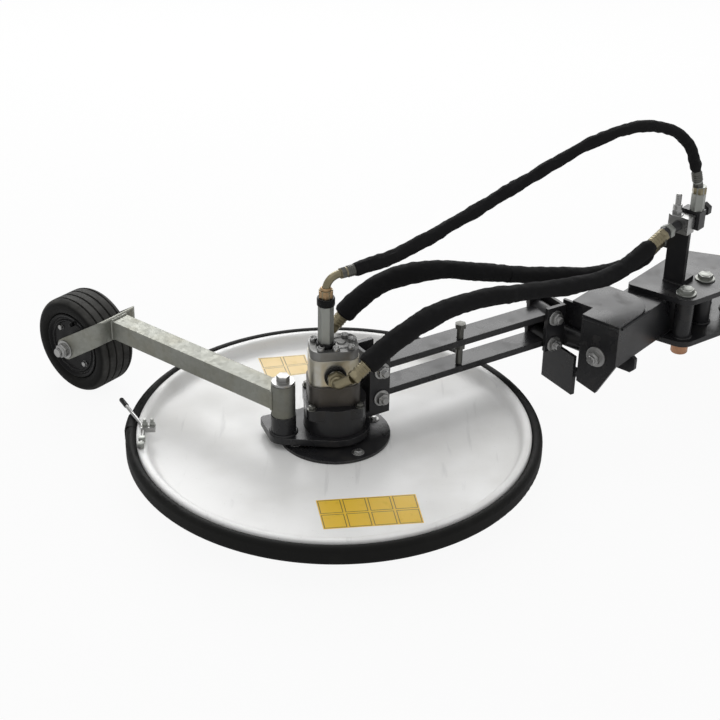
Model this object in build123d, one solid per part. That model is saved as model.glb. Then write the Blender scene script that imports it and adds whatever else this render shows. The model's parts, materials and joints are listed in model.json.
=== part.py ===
"""Inter-row disc mower head: a free-turning dished cover with a rubber bumper over a knife rotor and a skid
saucer, driven by a hydraulic gear motor, with a trailing support wheel and a float linkage to its boom.

Millimetres, +Z up. The model is laid out from the spindle at ground level and then moved so that the origin
is under the middle of the whole head."""

import os
from math import hypot, radians, tan

from build123d import *

# Clearances
RUN_GAP = 0.05  # radial, a shaft in its bearing
SEAT_GAP = 0.15  # radial, a fixed round seat
SIDE_GAP = 0.5  # along a pivot, each side

# Cover and bumper
COVER_TOP = 62.0  # top of the flat cover plate above the ground
COVER_T = 3.0
COVER_R = 331.0
RIM_H = 20.0  # rolled rim above the plate
RIM_LIP = 15.0
RIM_SLOPE = 14.0
RIM_DROP = 27.0  # turned-down outer wall of the rim
COVER_HOLE_R = 60.0
BAND_W = 18.0
BAND_H = 32.0
BAND_ROUND = 8.5
WIRE_R = 3.0
WIRE_SEAT = 6.0  # wire's middle inside the clamp's outer end
WIRE_TAIL_OUT = 37.0
WIRE_TAIL_L = 95.0
WIRE_END_IN = 1.0
WIRE_END_L = 60.0
WIRE_AT = 185.5  # where the wire's clamp sits round the rim, degrees
CLAMP_W = 14.0
CLAMP_L = 24.0
CLAMP_OUT = 8.0  # clamp to the rim's outer wall
CLAMP_H = 9.0
FLANGE_R = 94.0
FLANGE_T = 5.0
FLANGE_HUB_R = 59.0
FLANGE_HUB_H = 10.0  # hub below the cover's top

# Spindle stack
NECK_R = 45.0
NECK_BOTTOM = 44.0
NUT_R = 54.0
NUT_GAP = 0.3
SPINDLE_R = 17.5
SPINDLE_TOP = 118.0
HOUSING_R = 52.0
SHOULDER_GAP = 5.5  # between the turning flange and the fixed housing
HEAD_FLANGE_W = 96.0
HEAD_FLANGE_T = 20.0
HEAD_FLANGE_ROUND = 16.0
MOTOR_SEAT = 137.0  # top of the housing

# Knife rotor and skid saucer
ROTOR_R = 215.0
ROTOR_T = 5.0
ROTOR_TOP = 38.5
ROTOR_HUB_R = 40.0
KNIFE_COUNT = 4
KNIFE_W = 46.0
KNIFE_T = 5.0
KNIFE_ROOT = 140.0
KNIFE_TIP = 306.0
SAUCER_R = 262.0
SAUCER_FLAT_R = 244.0
SAUCER_T = 4.0
SAUCER_LIP = 15.0
SAUCER_HUB_R = 32.0
SAUCER_HUB_TOP = 24.0
RECESS_R = 27.0
RECESS_H = 9.0
STUB_R = 14.0
STUB_WASHER_R = 20.0
STUB_WASHER_T = 3.0

# Carrier
CARRIER_T = 12.0
CARRIER_GAP = 1.0  # below the plate, down to the housing's shoulder level
CARRIER_R = 60.0
CORNER_X, CORNER_Y, CORNER_R = -115.0, 8.0, 10.0  # far left corner of the plate
PIN_X, PIN_Y = -84.0, -30.0
BOSS_R = 21.0
BOSS_TOP = 119.0
BOSS_DROP = 4.0

# Support wheel
ARM_HEADING = 142.0
SLEEVE_R = 20.0
SLEEVE_H = 58.0
PIN_R = 12.0
PIN_WASHER_R = 19.0
PIN_WASHER_T = 4.0
PIN_HEAD_R = 11.0
PIN_HEAD_H = 10.0
ARM_TUBE = 35.0
ARM_WALL = 3.0
WHEEL_R = 90.0
WHEEL_W = 76.0
WHEEL_REACH = 480.0
TYRE_SECTION = 30.0
TYRE_ROUND = 13.0
GROOVE_COUNT = 4
GROOVE_W = 4.0
GROOVE_DEPTH = 4.0
RIM_WALL = 4.0
RIM_DISC_T = 5.0
RIM_DISC_OFFSET = -30.0
HUB_R = 17.0
AXLE_R = 8.0
AXLE_END = 20.0  # beyond the fork leg
AXLE_NUT_R = 13.0
AXLE_NUT_T = 9.0
FORK_T = 6.0
FORK_H = 44.0
FORK_BEND = 16.0
FORK_EYE_R = 20.0
FORK_SIDE = 5.5  # wheel to leg
TYRE_CLEAR = 87.0  # axle to the fork's cross plate

# Float linkage
LINK_HEADING = 32.5
LINK_NEAR = 81.0  # spindle to the near pivots
LINK_SIDE = 14.0  # linkage plane beside the spindle
LINK_LENGTH = 369.0
LINK_LOW_Z = 117.0
LINK_SPACING = 52.0
BAR_W = 42.0
BAR_T = 12.0
BUSH_R = 14.0
BUSH_L = 44.0
LINK_BOLT_R = 6.0
LINK_HEAD_R = 10.0
LINK_HEAD_H = 7.5
LINK_WASHER_R = 12.0
LINK_WASHER_T = 2.5
CHEEK_T = 8.0
CHEEK_W = 34.0
WEB_T = 6.0
CLEVIS_BACK = 16.5  # pivot to the web's inner face
NEAR_CLEVIS_TOP = 200.0
BRACKET_T = 10.0
FAR_CLEVIS_LOW = 104.0
FAR_CLEVIS_TOP = 190.0
STOP_AT = 0.47  # share of the link's length
STOP_R = 6.0
STOP_HEAD_R = 10.0
STOP_HEAD_H = 8.0
STOP_HEAD_LIFT = 20.0
STOP_EDGE = 9.0  # stop screw to the bar's front edge
STOP_PLAY = 2.0

# Motor
MOTOR_TURN = 8.0
MOTOR_X, MOTOR_Y = -3.0, 0.0
MOTOR_FLANGE_W = 86.0
MOTOR_FLANGE_D = 72.0
MOTOR_FLANGE_H = 36.0
MOTOR_W = 82.0
MOTOR_D = 66.0
MOTOR_ROUND = 20.0
MOTOR_BODY_H = 48.0
MOTOR_COVER_H = 16.0
MOTOR_COVER_INSET = 1.0
PORT_Z = 193.0
PORT_R = 14.0
PORT_L = 8.0
PORT_TURN = 20.0  # port's end to the elbow's corner

# Fittings and hoses
DRAIN_X, DRAIN_Y = -15.0, -8.0
HEX_R = 13.0
HEX_H = 76.0
COLLAR_R = 14.0
COLLAR_H = 12.0
NUT_HEX_R = 11.5
NUT_HEX_H = 14.0
ELBOW_TUBE_R = 6.5
ELBOW_BEND = 24.0
FERRULE_R = 10.5
FERRULE_L = 32.0
DRAIN_FERRULE_R = 8.5
DRAIN_FERRULE_L = 26.0
HOSE_R = 15.0
DRAIN_HOSE_R = 10.0

# Boom
BOOM_HEADING = 50.0
CLEVIS_X, CLEVIS_Y = 4.5, 119.3  # far pivots, from the middle of the end plate's front, along and left
BOOM_W = 76.0
BOOM_WALL = 6.0
BOOM_TOP = 187.0
BOOM_END = 345.0
END_T = 8.0
END_TIP_Y, END_TIP_Z = -3.0, 47.0  # lowest corner of the end plate
END_LEFT_Z = 58.0
END_RIGHT_Z = 113.0
OPEN_L = 96.0  # open front part of the box, its right wall only
CAP_T = 6.0
CAP_LENGTH = 126.0
CAP_NOTCH = 33.0
CAP_WING = 42.0
CAP_CORNER = 56.0
EAR_AT = 58.0  # second plate behind the end plate
EAR_T = 8.0
EAR_LOW = 78.0
EAR_OUT = 6.0  # ear beyond the box's right wall
EAR_CUT_W = 24.0
EAR_CUT_H = 22.0
ROLL_Y = 2.0
ROLL_SLEEVE_R = 22.0
ROLL_BOLT_R = 8.0
ROLL_WASHER_R = 18.0
ROLL_WASHER_T = 3.0
ROLL_HEAD_R = 13.0
ROLL_HEAD_T = 9.0
CROSS_R = 20.0
CROSS_AT = 33.0  # from the end plate's front
CROSS_Z = 121.0
SHOE_RIGHT, SHOE_LEFT = -72.0, 14.0
SHOE_T = 8.0
SHOE_LOW = 25.0
SHOE_BEND_Z = 62.0
SHOE_BEND = 14.0
SHOE_NECK_RIGHT = -72.0
PLATE_T = 10.0
PLATE_FRONT = 150.0
PLATE_LEFT = 40.0
BOLT_1_X, BOLT_1_Y = 187.0, -62.0
BOLT_2_X, BOLT_2_Y = 262.0, -58.0
BOLT_EYE_R = 28.0
PIVOT_BOLT_R = 8.0
PIVOT_HEAD_R = 14.0
PIVOT_HEAD_H = 10.0
BOLT_TUBE_R = 17.0
BUSHING_R = 13.0
BUSHING_DROP = 14.0
SWING_X, SWING_Y = 345.0, -86.0
SWING_BORE_R = 15.0
SWING_TUBE_R = 26.0
SWING_EYE_R = 46.0
POST_X = 207.0
POST_W = 40.0
POST_T = 8.0
POST_TOP = 300.0
STAND_LOW = 338.0
STAND_H = 32.0
PIPE_R = 9.0
PIPE_END = 290.0  # from the end plate's front
PIPE_CAP_R = 13.0
PIPE_CAP_L = 12.0
CRIMP_L = 34.0
LUG_W = 12.0  # post's lug round the lower pipe
BLOCK_L = 24.0
BLOCK_W = 40.0
BLOCK_H = 32.0
TEE_L = 22.0
TEE_OVER = 10.0

# Values worked out from these
RIM_TOP = COVER_TOP + RIM_H
FLANGE_TOP = COVER_TOP + FLANGE_T
HUB_LOW = COVER_TOP - FLANGE_HUB_H
SHOULDER = FLANGE_TOP + SHOULDER_GAP
CARRIER_LOW = SHOULDER + CARRIER_GAP
CARRIER_TOP = CARRIER_LOW + CARRIER_T
ARM_Z = BOSS_TOP + SIDE_GAP + SLEEVE_H / 2
FORK_X = WHEEL_REACH - TYRE_CLEAR
LEG_IN = WHEEL_W / 2 + FORK_SIDE
LINK_TOP_Z = LINK_LOW_Z + LINK_SPACING
LINK_FAR = LINK_NEAR + LINK_LENGTH
CHEEK_IN = BUSH_L / 2 + SIDE_GAP
MOTOR_BODY_LOW = MOTOR_SEAT + MOTOR_FLANGE_H
MOTOR_COVER_LOW = MOTOR_BODY_LOW + MOTOR_BODY_H
MOTOR_TOP = MOTOR_COVER_LOW + MOTOR_COVER_H
BOOM_LOW = BOOM_TOP - BOOM_W
PLATE_TOP_LOW = BOOM_TOP
PLATE_BOTTOM_TOP = BOOM_LOW
PLATE_TOP = PLATE_TOP_LOW + PLATE_T

ARM = Location((PIN_X, PIN_Y, 0), (0, 0, ARM_HEADING))
LINK = Location((0, 0, 0), (0, 0, LINK_HEADING)) * Location((0, LINK_SIDE, 0))
MOTOR = Location((MOTOR_X, MOTOR_Y, 0), (0, 0, MOTOR_TURN))
BOOM_TURN = Location((0, 0, 0), (0, 0, BOOM_HEADING))
BOOM_PLACE = (LINK * Pos(LINK_FAR, 0, 0)).position - (BOOM_TURN * Pos(CLEVIS_X, CLEVIS_Y, 0)).position
BOOM = Location(BOOM_PLACE) * BOOM_TURN

# Hose routes from the motor to the boom, chosen by hand, from the spindle
ROUTE_SPAN = 369.0  # link length that they are drawn for
FRONT_ROUTE = [
    (52, -57, 229),
    (89, -34, 257),
    (137, -3, 280),
    (196, 33, 294),
    (270, 80, 289),
    (345, 128, 274),
    (420, 176, 262),
    (480, 214, 262),
    (517, 236, 278),
    (552, 261, 300),
]
REAR_ROUTE = [
    (12, 71, 252),
    (42, 78, 288),
    (86, 90, 310),
    (140, 108, 318),
    (210, 136, 307),
    (290, 170, 282),
    (370, 205, 264),
    (450, 238, 250),
    (506, 266, 250),
    (540, 288, 256),
    (559, 310, 264),
]
DRAIN_ROUTE = [
    (30, 16, 363),
    (66, 36, 365),
    (120, 66, 378),
    (190, 101, 407),
    (268, 141, 441),
    (350, 183, 477),
    (432, 226, 510),
    (508, 267, 521),
    (570, 299, 503),
    (604, 315, 474),
    (622, 324, 440),
    (629, 327, 412),
]


def cyl(radius, low, high, x=0.0, y=0.0):
    """An upright cylinder between two heights."""
    return Pos(x, y, low) * Cylinder(radius, high - low, align=(Align.CENTER, Align.CENTER, Align.MIN))


def block(x0, x1, y0, y1, z0, z1):
    """A box between two corners."""
    return Pos((x0 + x1) / 2, (y0 + y1) / 2, (z0 + z1) / 2) * Box(x1 - x0, y1 - y0, z1 - z0)


def across(radius, y0, y1, x, z):
    """A cylinder along Y."""
    return Pos(x, (y0 + y1) / 2, z) * Rot(90, 0, 0) * Cylinder(radius, y1 - y0)


def hexagon(radius, low, high, x=0.0, y=0.0):
    """An upright hexagonal prism, given its corner radius."""
    return Pos(x, y, low) * extrude(RegularPolygon(radius, 6), high - low)


def turned(*points):
    """A solid of revolution about Z from its half section, as (radius, height) points."""
    return revolve(make_face(Polyline(*[(r, 0, z) for r, z in points], close=True)), Axis.Z)


def rod(start, end, radius):
    """A round rod between two points."""
    line = Line(start, end)
    return sweep(Plane(origin=start, z_dir=line % 0) * Circle(radius), path=line)


def hull_plate(circles, low, high):
    """A plate around (x, y, radius) circles, its outline tangent to them."""
    outline = make_hull([Pos(x, y) * Circle(r).edge() for x, y, r in circles])
    return Pos(0, 0, low) * extrude(outline, high - low)


def drawn_out(route):
    """A route whose start keeps with the motor and whose far part keeps with the boom."""
    along = Vector(1, 0, 0).rotate(Axis.Z, LINK_HEADING)
    extra = along * (LINK_LENGTH - ROUTE_SPAN)
    begin = Vector(*route[1]).dot(along)
    moved = []
    for point in route:
        place = Vector(*point)
        share = min(1.0, max(0.0, (place.dot(along) - begin) / (ROUTE_SPAN - begin)))
        moved.append(place + extra * share)
    return moved


def hose(points, radius, name):
    """A round hose along straight runs joined by arcs as large as the runs allow."""
    runs = [b - a for a, b in zip(points, points[1:])]
    radii = []
    for before, after in zip(runs, runs[1:]):
        turn = radians(before.get_angle(after))
        radii.append(0.45 * min(before.length, after.length) / tan(turn / 2))
    path = FilletPolyline(*points, radius=radii)
    solid = sweep(Plane(origin=points[0], z_dir=runs[0]) * Circle(radius), path=path)
    print(name, "length", round(path.length), "smallest radius", round(min(radii)))
    return solid


def cover_disc():
    slope_in = COVER_R - RIM_LIP - RIM_SLOPE
    lip_in = COVER_R - RIM_LIP
    low = RIM_TOP - RIM_DROP
    return turned(
        (COVER_HOLE_R, COVER_TOP),
        (slope_in, COVER_TOP),
        (lip_in, RIM_TOP),
        (COVER_R, RIM_TOP),
        (COVER_R, low),
        (COVER_R - COVER_T, low),
        (COVER_R - COVER_T, RIM_TOP - COVER_T),
        (lip_in + COVER_T / 2, RIM_TOP - COVER_T),
        (slope_in + COVER_T / 2, COVER_TOP - COVER_T),
        (COVER_HOLE_R, COVER_TOP - COVER_T),
    )


def bumper_band():
    section = RectangleRounded(BAND_W, BAND_H, BAND_ROUND)
    middle = (COVER_R + SEAT_GAP + BAND_W / 2, RIM_TOP - 1 - BAND_H / 2)
    return revolve(Plane.XZ * Pos(*middle) * section, Axis.Z)


def cover_flange():
    return turned(
        (NECK_R + RUN_GAP, HUB_LOW),
        (FLANGE_HUB_R, HUB_LOW),
        (FLANGE_HUB_R, COVER_TOP),
        (FLANGE_R, COVER_TOP),
        (FLANGE_R, FLANGE_TOP),
        (NECK_R + RUN_GAP, FLANGE_TOP),
    )


def rim_wire():
    """The clamp on the rim for the wire that closes the bumper, with the wire's two free ends."""
    outer = COVER_R - CLAMP_OUT
    inner = outer - CLAMP_L
    clamp = block(inner, outer, -CLAMP_W / 2, CLAMP_W / 2, RIM_TOP, RIM_TOP + CLAMP_H)
    height = RIM_TOP + CLAMP_H / 2
    seat = (outer - WIRE_SEAT, 0, height)
    tail = rod(seat, (outer + WIRE_TAIL_OUT, -WIRE_TAIL_L, height), WIRE_R)
    end = rod(seat, (outer - WIRE_END_IN, WIRE_END_L, height), WIRE_R)
    return Rot(0, 0, WIRE_AT) * (clamp + tail + end)


def bearing_housing():
    barrel = turned(
        (SPINDLE_R + RUN_GAP, NECK_BOTTOM),
        (NECK_R, NECK_BOTTOM),
        (NECK_R, SHOULDER),
        (HOUSING_R, SHOULDER),
        (HOUSING_R, MOTOR_SEAT),
        (0, MOTOR_SEAT),
        (0, SPINDLE_TOP + SIDE_GAP),
        (SPINDLE_R + RUN_GAP, SPINDLE_TOP + SIDE_GAP),
    )
    plate = RectangleRounded(HEAD_FLANGE_W, HEAD_FLANGE_W, HEAD_FLANGE_ROUND)
    flange = Pos(0, 0, MOTOR_SEAT - HEAD_FLANGE_T) * extrude(plate, HEAD_FLANGE_T)
    bore = cyl(SPINDLE_R + RUN_GAP, NECK_BOTTOM, SPINDLE_TOP + SIDE_GAP)
    return barrel + MOTOR * flange - bore


def cover_nut():
    high = HUB_LOW - NUT_GAP
    return cyl(NUT_R, NECK_BOTTOM, high) - cyl(NECK_R + SEAT_GAP, NECK_BOTTOM, high)


def carrier():
    plate = hull_plate(
        [(PIN_X, PIN_Y, BOSS_R + 4), (0, 0, CARRIER_R), (CORNER_X, CORNER_Y, CORNER_R)],
        CARRIER_LOW,
        CARRIER_TOP,
    )
    boss = cyl(BOSS_R, CARRIER_LOW, BOSS_TOP, PIN_X, PIN_Y)
    bore = cyl(PIN_R + SEAT_GAP, CARRIER_LOW, BOSS_TOP, PIN_X, PIN_Y)
    return plate + boss - bore - cyl(HOUSING_R + SEAT_GAP, CARRIER_LOW, CARRIER_TOP)


def arm_pin():
    top = ARM_Z + SLEEVE_H / 2 + SIDE_GAP
    shank = cyl(PIN_R, CARRIER_LOW, top)
    washer = cyl(PIN_WASHER_R, top, top + PIN_WASHER_T)
    head = hexagon(PIN_HEAD_R, top + PIN_WASHER_T, top + PIN_WASHER_T + PIN_HEAD_H)
    return Pos(PIN_X, PIN_Y, 0) * (shank + washer + head)


def arm_sleeve():
    low, high = ARM_Z - SLEEVE_H / 2, ARM_Z + SLEEVE_H / 2
    return ARM * (cyl(SLEEVE_R, low, high) - cyl(PIN_R + RUN_GAP, low, high))


def arm_tube():
    half = ARM_TUBE / 2
    hollow = half - ARM_WALL
    end = FORK_X - FORK_T
    outer = block(0, end, -half, half, ARM_Z - half, ARM_Z + half)
    inner = block(0, end, -hollow, hollow, ARM_Z - hollow, ARM_Z + hollow)
    seat = cyl(SLEEVE_R + SEAT_GAP, ARM_Z - SLEEVE_H, ARM_Z + SLEEVE_H)
    return ARM * (outer - inner - seat)


def fork():
    """One strap bent round the wheel, its legs down to the axle."""
    wide = LEG_IN + FORK_T
    low, high = ARM_Z - FORK_H / 2, ARM_Z + FORK_H / 2
    middle = LEG_IN + FORK_T / 2
    back, end = FORK_X - FORK_T / 2, WHEEL_REACH + FORK_EYE_R
    path = FilletPolyline((end, -middle), (back, -middle), (back, middle), (end, middle), radius=FORK_BEND)
    strap = Pos(0, 0, WHEEL_R - FORK_EYE_R) * extrude(trace(path, FORK_T), high - WHEEL_R + FORK_EYE_R)
    corners = [(FORK_X - FORK_T + 4, low + 4, 4), (FORK_X - FORK_T + 4, high - 4, 4)]
    outline = make_hull(
        [Pos(x, z) * Circle(r).edge() for x, z, r in corners + [(WHEEL_REACH, WHEEL_R, FORK_EYE_R)]]
    )
    side = Pos(0, wide + 1, 0) * extrude(Plane.XZ * outline, 2 * wide + 2)
    bore = across(AXLE_R + SEAT_GAP, -wide - 1, wide + 1, WHEEL_REACH, WHEEL_R)
    return ARM * ((strap & side) - bore)


def axle():
    end = LEG_IN + FORK_T + AXLE_END
    shaft = across(AXLE_R, -end, end, WHEEL_REACH, WHEEL_R)
    out = LEG_IN + FORK_T
    nut = Rot(90, 0, 0) * extrude(RegularPolygon(AXLE_NUT_R, 6), AXLE_NUT_T)
    near = Pos(WHEEL_REACH, -out, WHEEL_R) * nut
    far = Pos(WHEEL_REACH, out + AXLE_NUT_T, WHEEL_R) * nut
    return ARM * (shaft + near + far)


def on_wheel(solid):
    """Places a part that was made about Z on the wheel's axis."""
    return ARM * Pos(WHEEL_REACH, 0, WHEEL_R) * Rot(90, 0, 0) * solid


def tyre():
    seat = WHEEL_R - TYRE_SECTION
    middle = (seat + TYRE_SECTION / 2 + SEAT_GAP / 2, 0)
    section = Plane.XZ * Pos(*middle) * RectangleRounded(TYRE_SECTION - SEAT_GAP, WHEEL_W, TYRE_ROUND)
    body = revolve(section, Axis.Z)
    pitch = (WHEEL_W - 2 * TYRE_ROUND) / (GROOVE_COUNT - 1)
    for i in range(GROOVE_COUNT):
        z = (i - (GROOVE_COUNT - 1) / 2) * pitch
        ring = cyl(WHEEL_R + 1, z - GROOVE_W / 2, z + GROOVE_W / 2)
        body -= ring - cyl(WHEEL_R - GROOVE_DEPTH, z - GROOVE_W / 2, z + GROOVE_W / 2)
    return on_wheel(body)


def wheel_rim():
    seat = WHEEL_R - TYRE_SECTION
    half = WHEEL_W / 2 - TYRE_ROUND / 2
    barrel = cyl(seat, -half, half) - cyl(seat - RIM_WALL, -half, half)
    disc = cyl(seat - RIM_WALL / 2, RIM_DISC_OFFSET, RIM_DISC_OFFSET + RIM_DISC_T)
    hub = cyl(HUB_R, -LEG_IN + SIDE_GAP, LEG_IN - SIDE_GAP)
    return on_wheel(barrel + disc + hub - cyl(AXLE_R + RUN_GAP, -LEG_IN, LEG_IN))


def rotor():
    thrust = SAUCER_HUB_TOP + SIDE_GAP
    spindle = cyl(SPINDLE_R, NECK_BOTTOM - 2, SPINDLE_TOP)
    hub = cyl(ROTOR_HUB_R, thrust, NECK_BOTTOM - SIDE_GAP)
    disc = cyl(ROTOR_R, ROTOR_TOP - ROTOR_T, ROTOR_TOP)
    stub = cyl(STUB_R, RECESS_H - SIDE_GAP, thrust + 1)
    return spindle + hub + disc + stub


def knives():
    high = ROTOR_TOP - ROTOR_T - RUN_GAP
    half = KNIFE_W / 2
    outline = Polyline(
        (KNIFE_ROOT, -half),
        (KNIFE_TIP - half / 2, -half),
        (KNIFE_TIP, 0),
        (KNIFE_TIP - half / 2, half),
        (KNIFE_ROOT, half),
        close=True,
    )
    knife = Pos(0, 0, high - KNIFE_T) * extrude(make_face(outline), KNIFE_T)
    return Compound(children=[Rot(0, 0, i * 360 / KNIFE_COUNT) * knife for i in range(KNIFE_COUNT)])


def skid_saucer():
    return turned(
        (RECESS_R, 0),
        (SAUCER_FLAT_R, 0),
        (SAUCER_R, SAUCER_LIP),
        (SAUCER_R - SAUCER_T, SAUCER_LIP + 1),
        (SAUCER_FLAT_R - SAUCER_T / 2, SAUCER_T),
        (SAUCER_HUB_R, SAUCER_T),
        (SAUCER_HUB_R, SAUCER_HUB_TOP),
        (STUB_R + RUN_GAP, SAUCER_HUB_TOP),
        (STUB_R + RUN_GAP, RECESS_H),
        (RECESS_R, RECESS_H),
    )


def saucer_bolt():
    high = RECESS_H - SIDE_GAP
    washer = cyl(STUB_WASHER_R, high - STUB_WASHER_T, high)
    return washer + hexagon(STUB_R, high - STUB_WASHER_T - 4, high - STUB_WASHER_T)


def clevis(web_x, low, high, mouth):
    """A channel with two cheeks about the linkage plane, its web at web_x and its mouth towards mouth."""
    out = CHEEK_IN + CHEEK_T
    back, tip = web_x - mouth * WEB_T, web_x + mouth * CHEEK_W
    channel = block(min(back, tip), max(back, tip), -out, out, low, high)
    hollow = block(min(web_x, tip), max(web_x, tip), -CHEEK_IN, CHEEK_IN, low, high)
    return channel - hollow


def link_bores(x, radius):
    reach = CHEEK_IN + CHEEK_T + 1
    return across(radius, -reach, reach, x, LINK_LOW_Z) + across(radius, -reach, reach, x, LINK_TOP_Z)


def near_clevis():
    web = LINK_NEAR - CLEVIS_BACK
    body = clevis(web, CARRIER_TOP, NEAR_CLEVIS_TOP, 1)
    out = CHEEK_IN + CHEEK_T
    low, high = CARRIER_TOP, CARRIER_TOP + BRACKET_T
    bracket = block(HOUSING_R / 2, web - WEB_T, -out, out, low, high)
    bracket -= cyl(HOUSING_R + SEAT_GAP, low, high, 0, -LINK_SIDE)
    return LINK * (body + bracket - link_bores(LINK_NEAR, LINK_BOLT_R + SEAT_GAP))


def far_clevis():
    body = clevis(LINK_FAR + CLEVIS_BACK, FAR_CLEVIS_LOW, FAR_CLEVIS_TOP, -1)
    return LINK * (body - link_bores(LINK_FAR, LINK_BOLT_R + SEAT_GAP))


def link_bolts(x):
    out = CHEEK_IN + CHEEK_T
    bolts = []
    for z in (LINK_LOW_Z, LINK_TOP_Z):
        shank = across(LINK_BOLT_R, -out - LINK_WASHER_T, out + LINK_WASHER_T, x, z)
        front = across(LINK_WASHER_R, -out - LINK_WASHER_T, -out, x, z)
        back = across(LINK_WASHER_R, out, out + LINK_WASHER_T, x, z)
        head = Rot(90, 0, 0) * extrude(RegularPolygon(LINK_HEAD_R, 6), LINK_HEAD_H)
        front_head = Pos(x, -out - LINK_WASHER_T, z) * head
        back_head = Pos(x, out + LINK_WASHER_T + LINK_HEAD_H, z) * head
        bolts.append(LINK * (shank + front + back + front_head + back_head))
    return Compound(children=bolts)


def link_bar(z):
    half = BAR_W / 2
    overlap = BUSH_R / 2 + 2
    bar = block(LINK_NEAR + overlap, LINK_FAR - overlap, -half, half, z - BAR_T / 2, z + BAR_T / 2)
    for x in (LINK_NEAR, LINK_FAR):
        bar += across(BUSH_R, -BUSH_L / 2, BUSH_L / 2, x, z)
    for x in (LINK_NEAR, LINK_FAR):
        bar -= across(LINK_BOLT_R + RUN_GAP, -BUSH_L, BUSH_L, x, z)
    return bar


def stop_place():
    return LINK_NEAR + STOP_AT * LINK_LENGTH, STOP_EDGE - BAR_W / 2


def upper_link():
    x, y = stop_place()
    low, high = LINK_TOP_Z - BAR_T / 2, LINK_TOP_Z + BAR_T / 2
    return LINK * (link_bar(LINK_TOP_Z) - cyl(STOP_R + SEAT_GAP, low, high, x, y))


def lower_link():
    return LINK * link_bar(LINK_LOW_Z)


def stop_screw():
    x, y = stop_place()
    tip = LINK_LOW_Z + BAR_T / 2 + STOP_PLAY
    bar_low, bar_top = LINK_TOP_Z - BAR_T / 2, LINK_TOP_Z + BAR_T / 2
    head_low = bar_top + STOP_HEAD_LIFT
    shank = cyl(STOP_R, tip, head_low, x, y)
    head = hexagon(STOP_HEAD_R, head_low, head_low + STOP_HEAD_H, x, y)
    nut = hexagon(STOP_HEAD_R, bar_low - STOP_HEAD_H, bar_low, x, y)
    return LINK * (shank + head + nut)


def motor_flange():
    plate = RectangleRounded(MOTOR_FLANGE_W, MOTOR_FLANGE_D, MOTOR_ROUND)
    return MOTOR * Pos(0, 0, MOTOR_SEAT) * extrude(plate, MOTOR_FLANGE_H)


def motor_body():
    case = RectangleRounded(MOTOR_W, MOTOR_D, MOTOR_ROUND)
    body = Pos(0, 0, MOTOR_BODY_LOW) * extrude(case, MOTOR_BODY_H)
    half = MOTOR_D / 2
    ports = across(PORT_R, -half - PORT_L, half + PORT_L, 0, PORT_Z)
    return MOTOR * (body + ports)


def motor_cover():
    width, depth = MOTOR_W - 2 * MOTOR_COVER_INSET, MOTOR_D - 2 * MOTOR_COVER_INSET
    case = RectangleRounded(width, depth, MOTOR_ROUND - MOTOR_COVER_INSET)
    return MOTOR * Pos(0, 0, MOTOR_COVER_LOW) * extrude(case, MOTOR_COVER_H)


def drain_adapter():
    pillar = hexagon(HEX_R, MOTOR_TOP, MOTOR_TOP + HEX_H)
    collar = cyl(COLLAR_R, MOTOR_TOP + HEX_H, MOTOR_TOP + HEX_H + COLLAR_H)
    return Pos(DRAIN_X, DRAIN_Y, 0) * (pillar + collar)


def bent_fitting(points, bend, tube_r, ferrule_from, ferrule_to, ferrule_r):
    """A bent tube through the points and a straight crimped ferrule at its end."""
    path = FilletPolyline(*points, radius=bend)
    first = Vector(*points[1]) - Vector(*points[0])
    tube = sweep(Plane(origin=points[0], z_dir=first) * Circle(tube_r), path=path)
    return tube + rod(ferrule_from, ferrule_to, ferrule_r)


def before(route, distance):
    """The point at a distance before a route's start, along its first run."""
    return route[0] - (route[1] - route[0]).normalized() * distance


def after(route, distance):
    """The point at a distance past a route's end, along its last run."""
    return route[-1] + (route[-1] - route[-2]).normalized() * distance


def drain_elbow(route):
    base = MOTOR_TOP + HEX_H + COLLAR_H
    nut = hexagon(NUT_HEX_R, base, base + NUT_HEX_H, DRAIN_X, DRAIN_Y)
    start = (DRAIN_X, DRAIN_Y, base)
    ferrule = before(route, DRAIN_FERRULE_L)
    a, b = route[0], route[1]
    run = hypot(a.X - DRAIN_X, a.Y - DRAIN_Y)
    corner_z = a.Z - run * (b.Z - a.Z) / hypot(b.X - a.X, b.Y - a.Y)
    corner = (DRAIN_X, DRAIN_Y, corner_z)
    line = [start, corner, tuple(ferrule)]
    body = bent_fitting(line, ELBOW_BEND, ELBOW_TUBE_R, ferrule, a, DRAIN_FERRULE_R)
    return nut + body


def port_elbow(route, side):
    """The elbow from a motor port to the start of a hose."""
    face = (MOTOR * Pos(0, side * (MOTOR_D / 2 + PORT_L), PORT_Z)).position
    ferrule = before(route, FERRULE_L)
    corner = (MOTOR * Pos(0, side * (MOTOR_D / 2 + PORT_L + PORT_TURN), PORT_Z)).position
    path = [tuple(face), tuple(corner), tuple(ferrule)]
    return bent_fitting(path, 10, ELBOW_TUBE_R + 2, ferrule, route[0], FERRULE_R)


def boom_tube():
    half, hollow = BOOM_W / 2, BOOM_W / 2 - BOOM_WALL
    outer = block(END_T, BOOM_END, -half, half, BOOM_LOW, BOOM_TOP)
    inner = block(END_T, BOOM_END, -hollow, hollow, BOOM_LOW + BOOM_WALL, BOOM_TOP - BOOM_WALL)
    front = block(END_T, OPEN_L, -hollow, half + 1, BOOM_LOW - 1, BOOM_TOP + 1)
    return BOOM * (outer - inner - front)


def roll_bore(x0, x1, radius):
    """A cylinder along the box on the axis of the roll bolt."""
    return Pos((x0 + x1) / 2, ROLL_Y, CROSS_Z) * Rot(0, 90, 0) * Cylinder(radius, x1 - x0)


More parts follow.
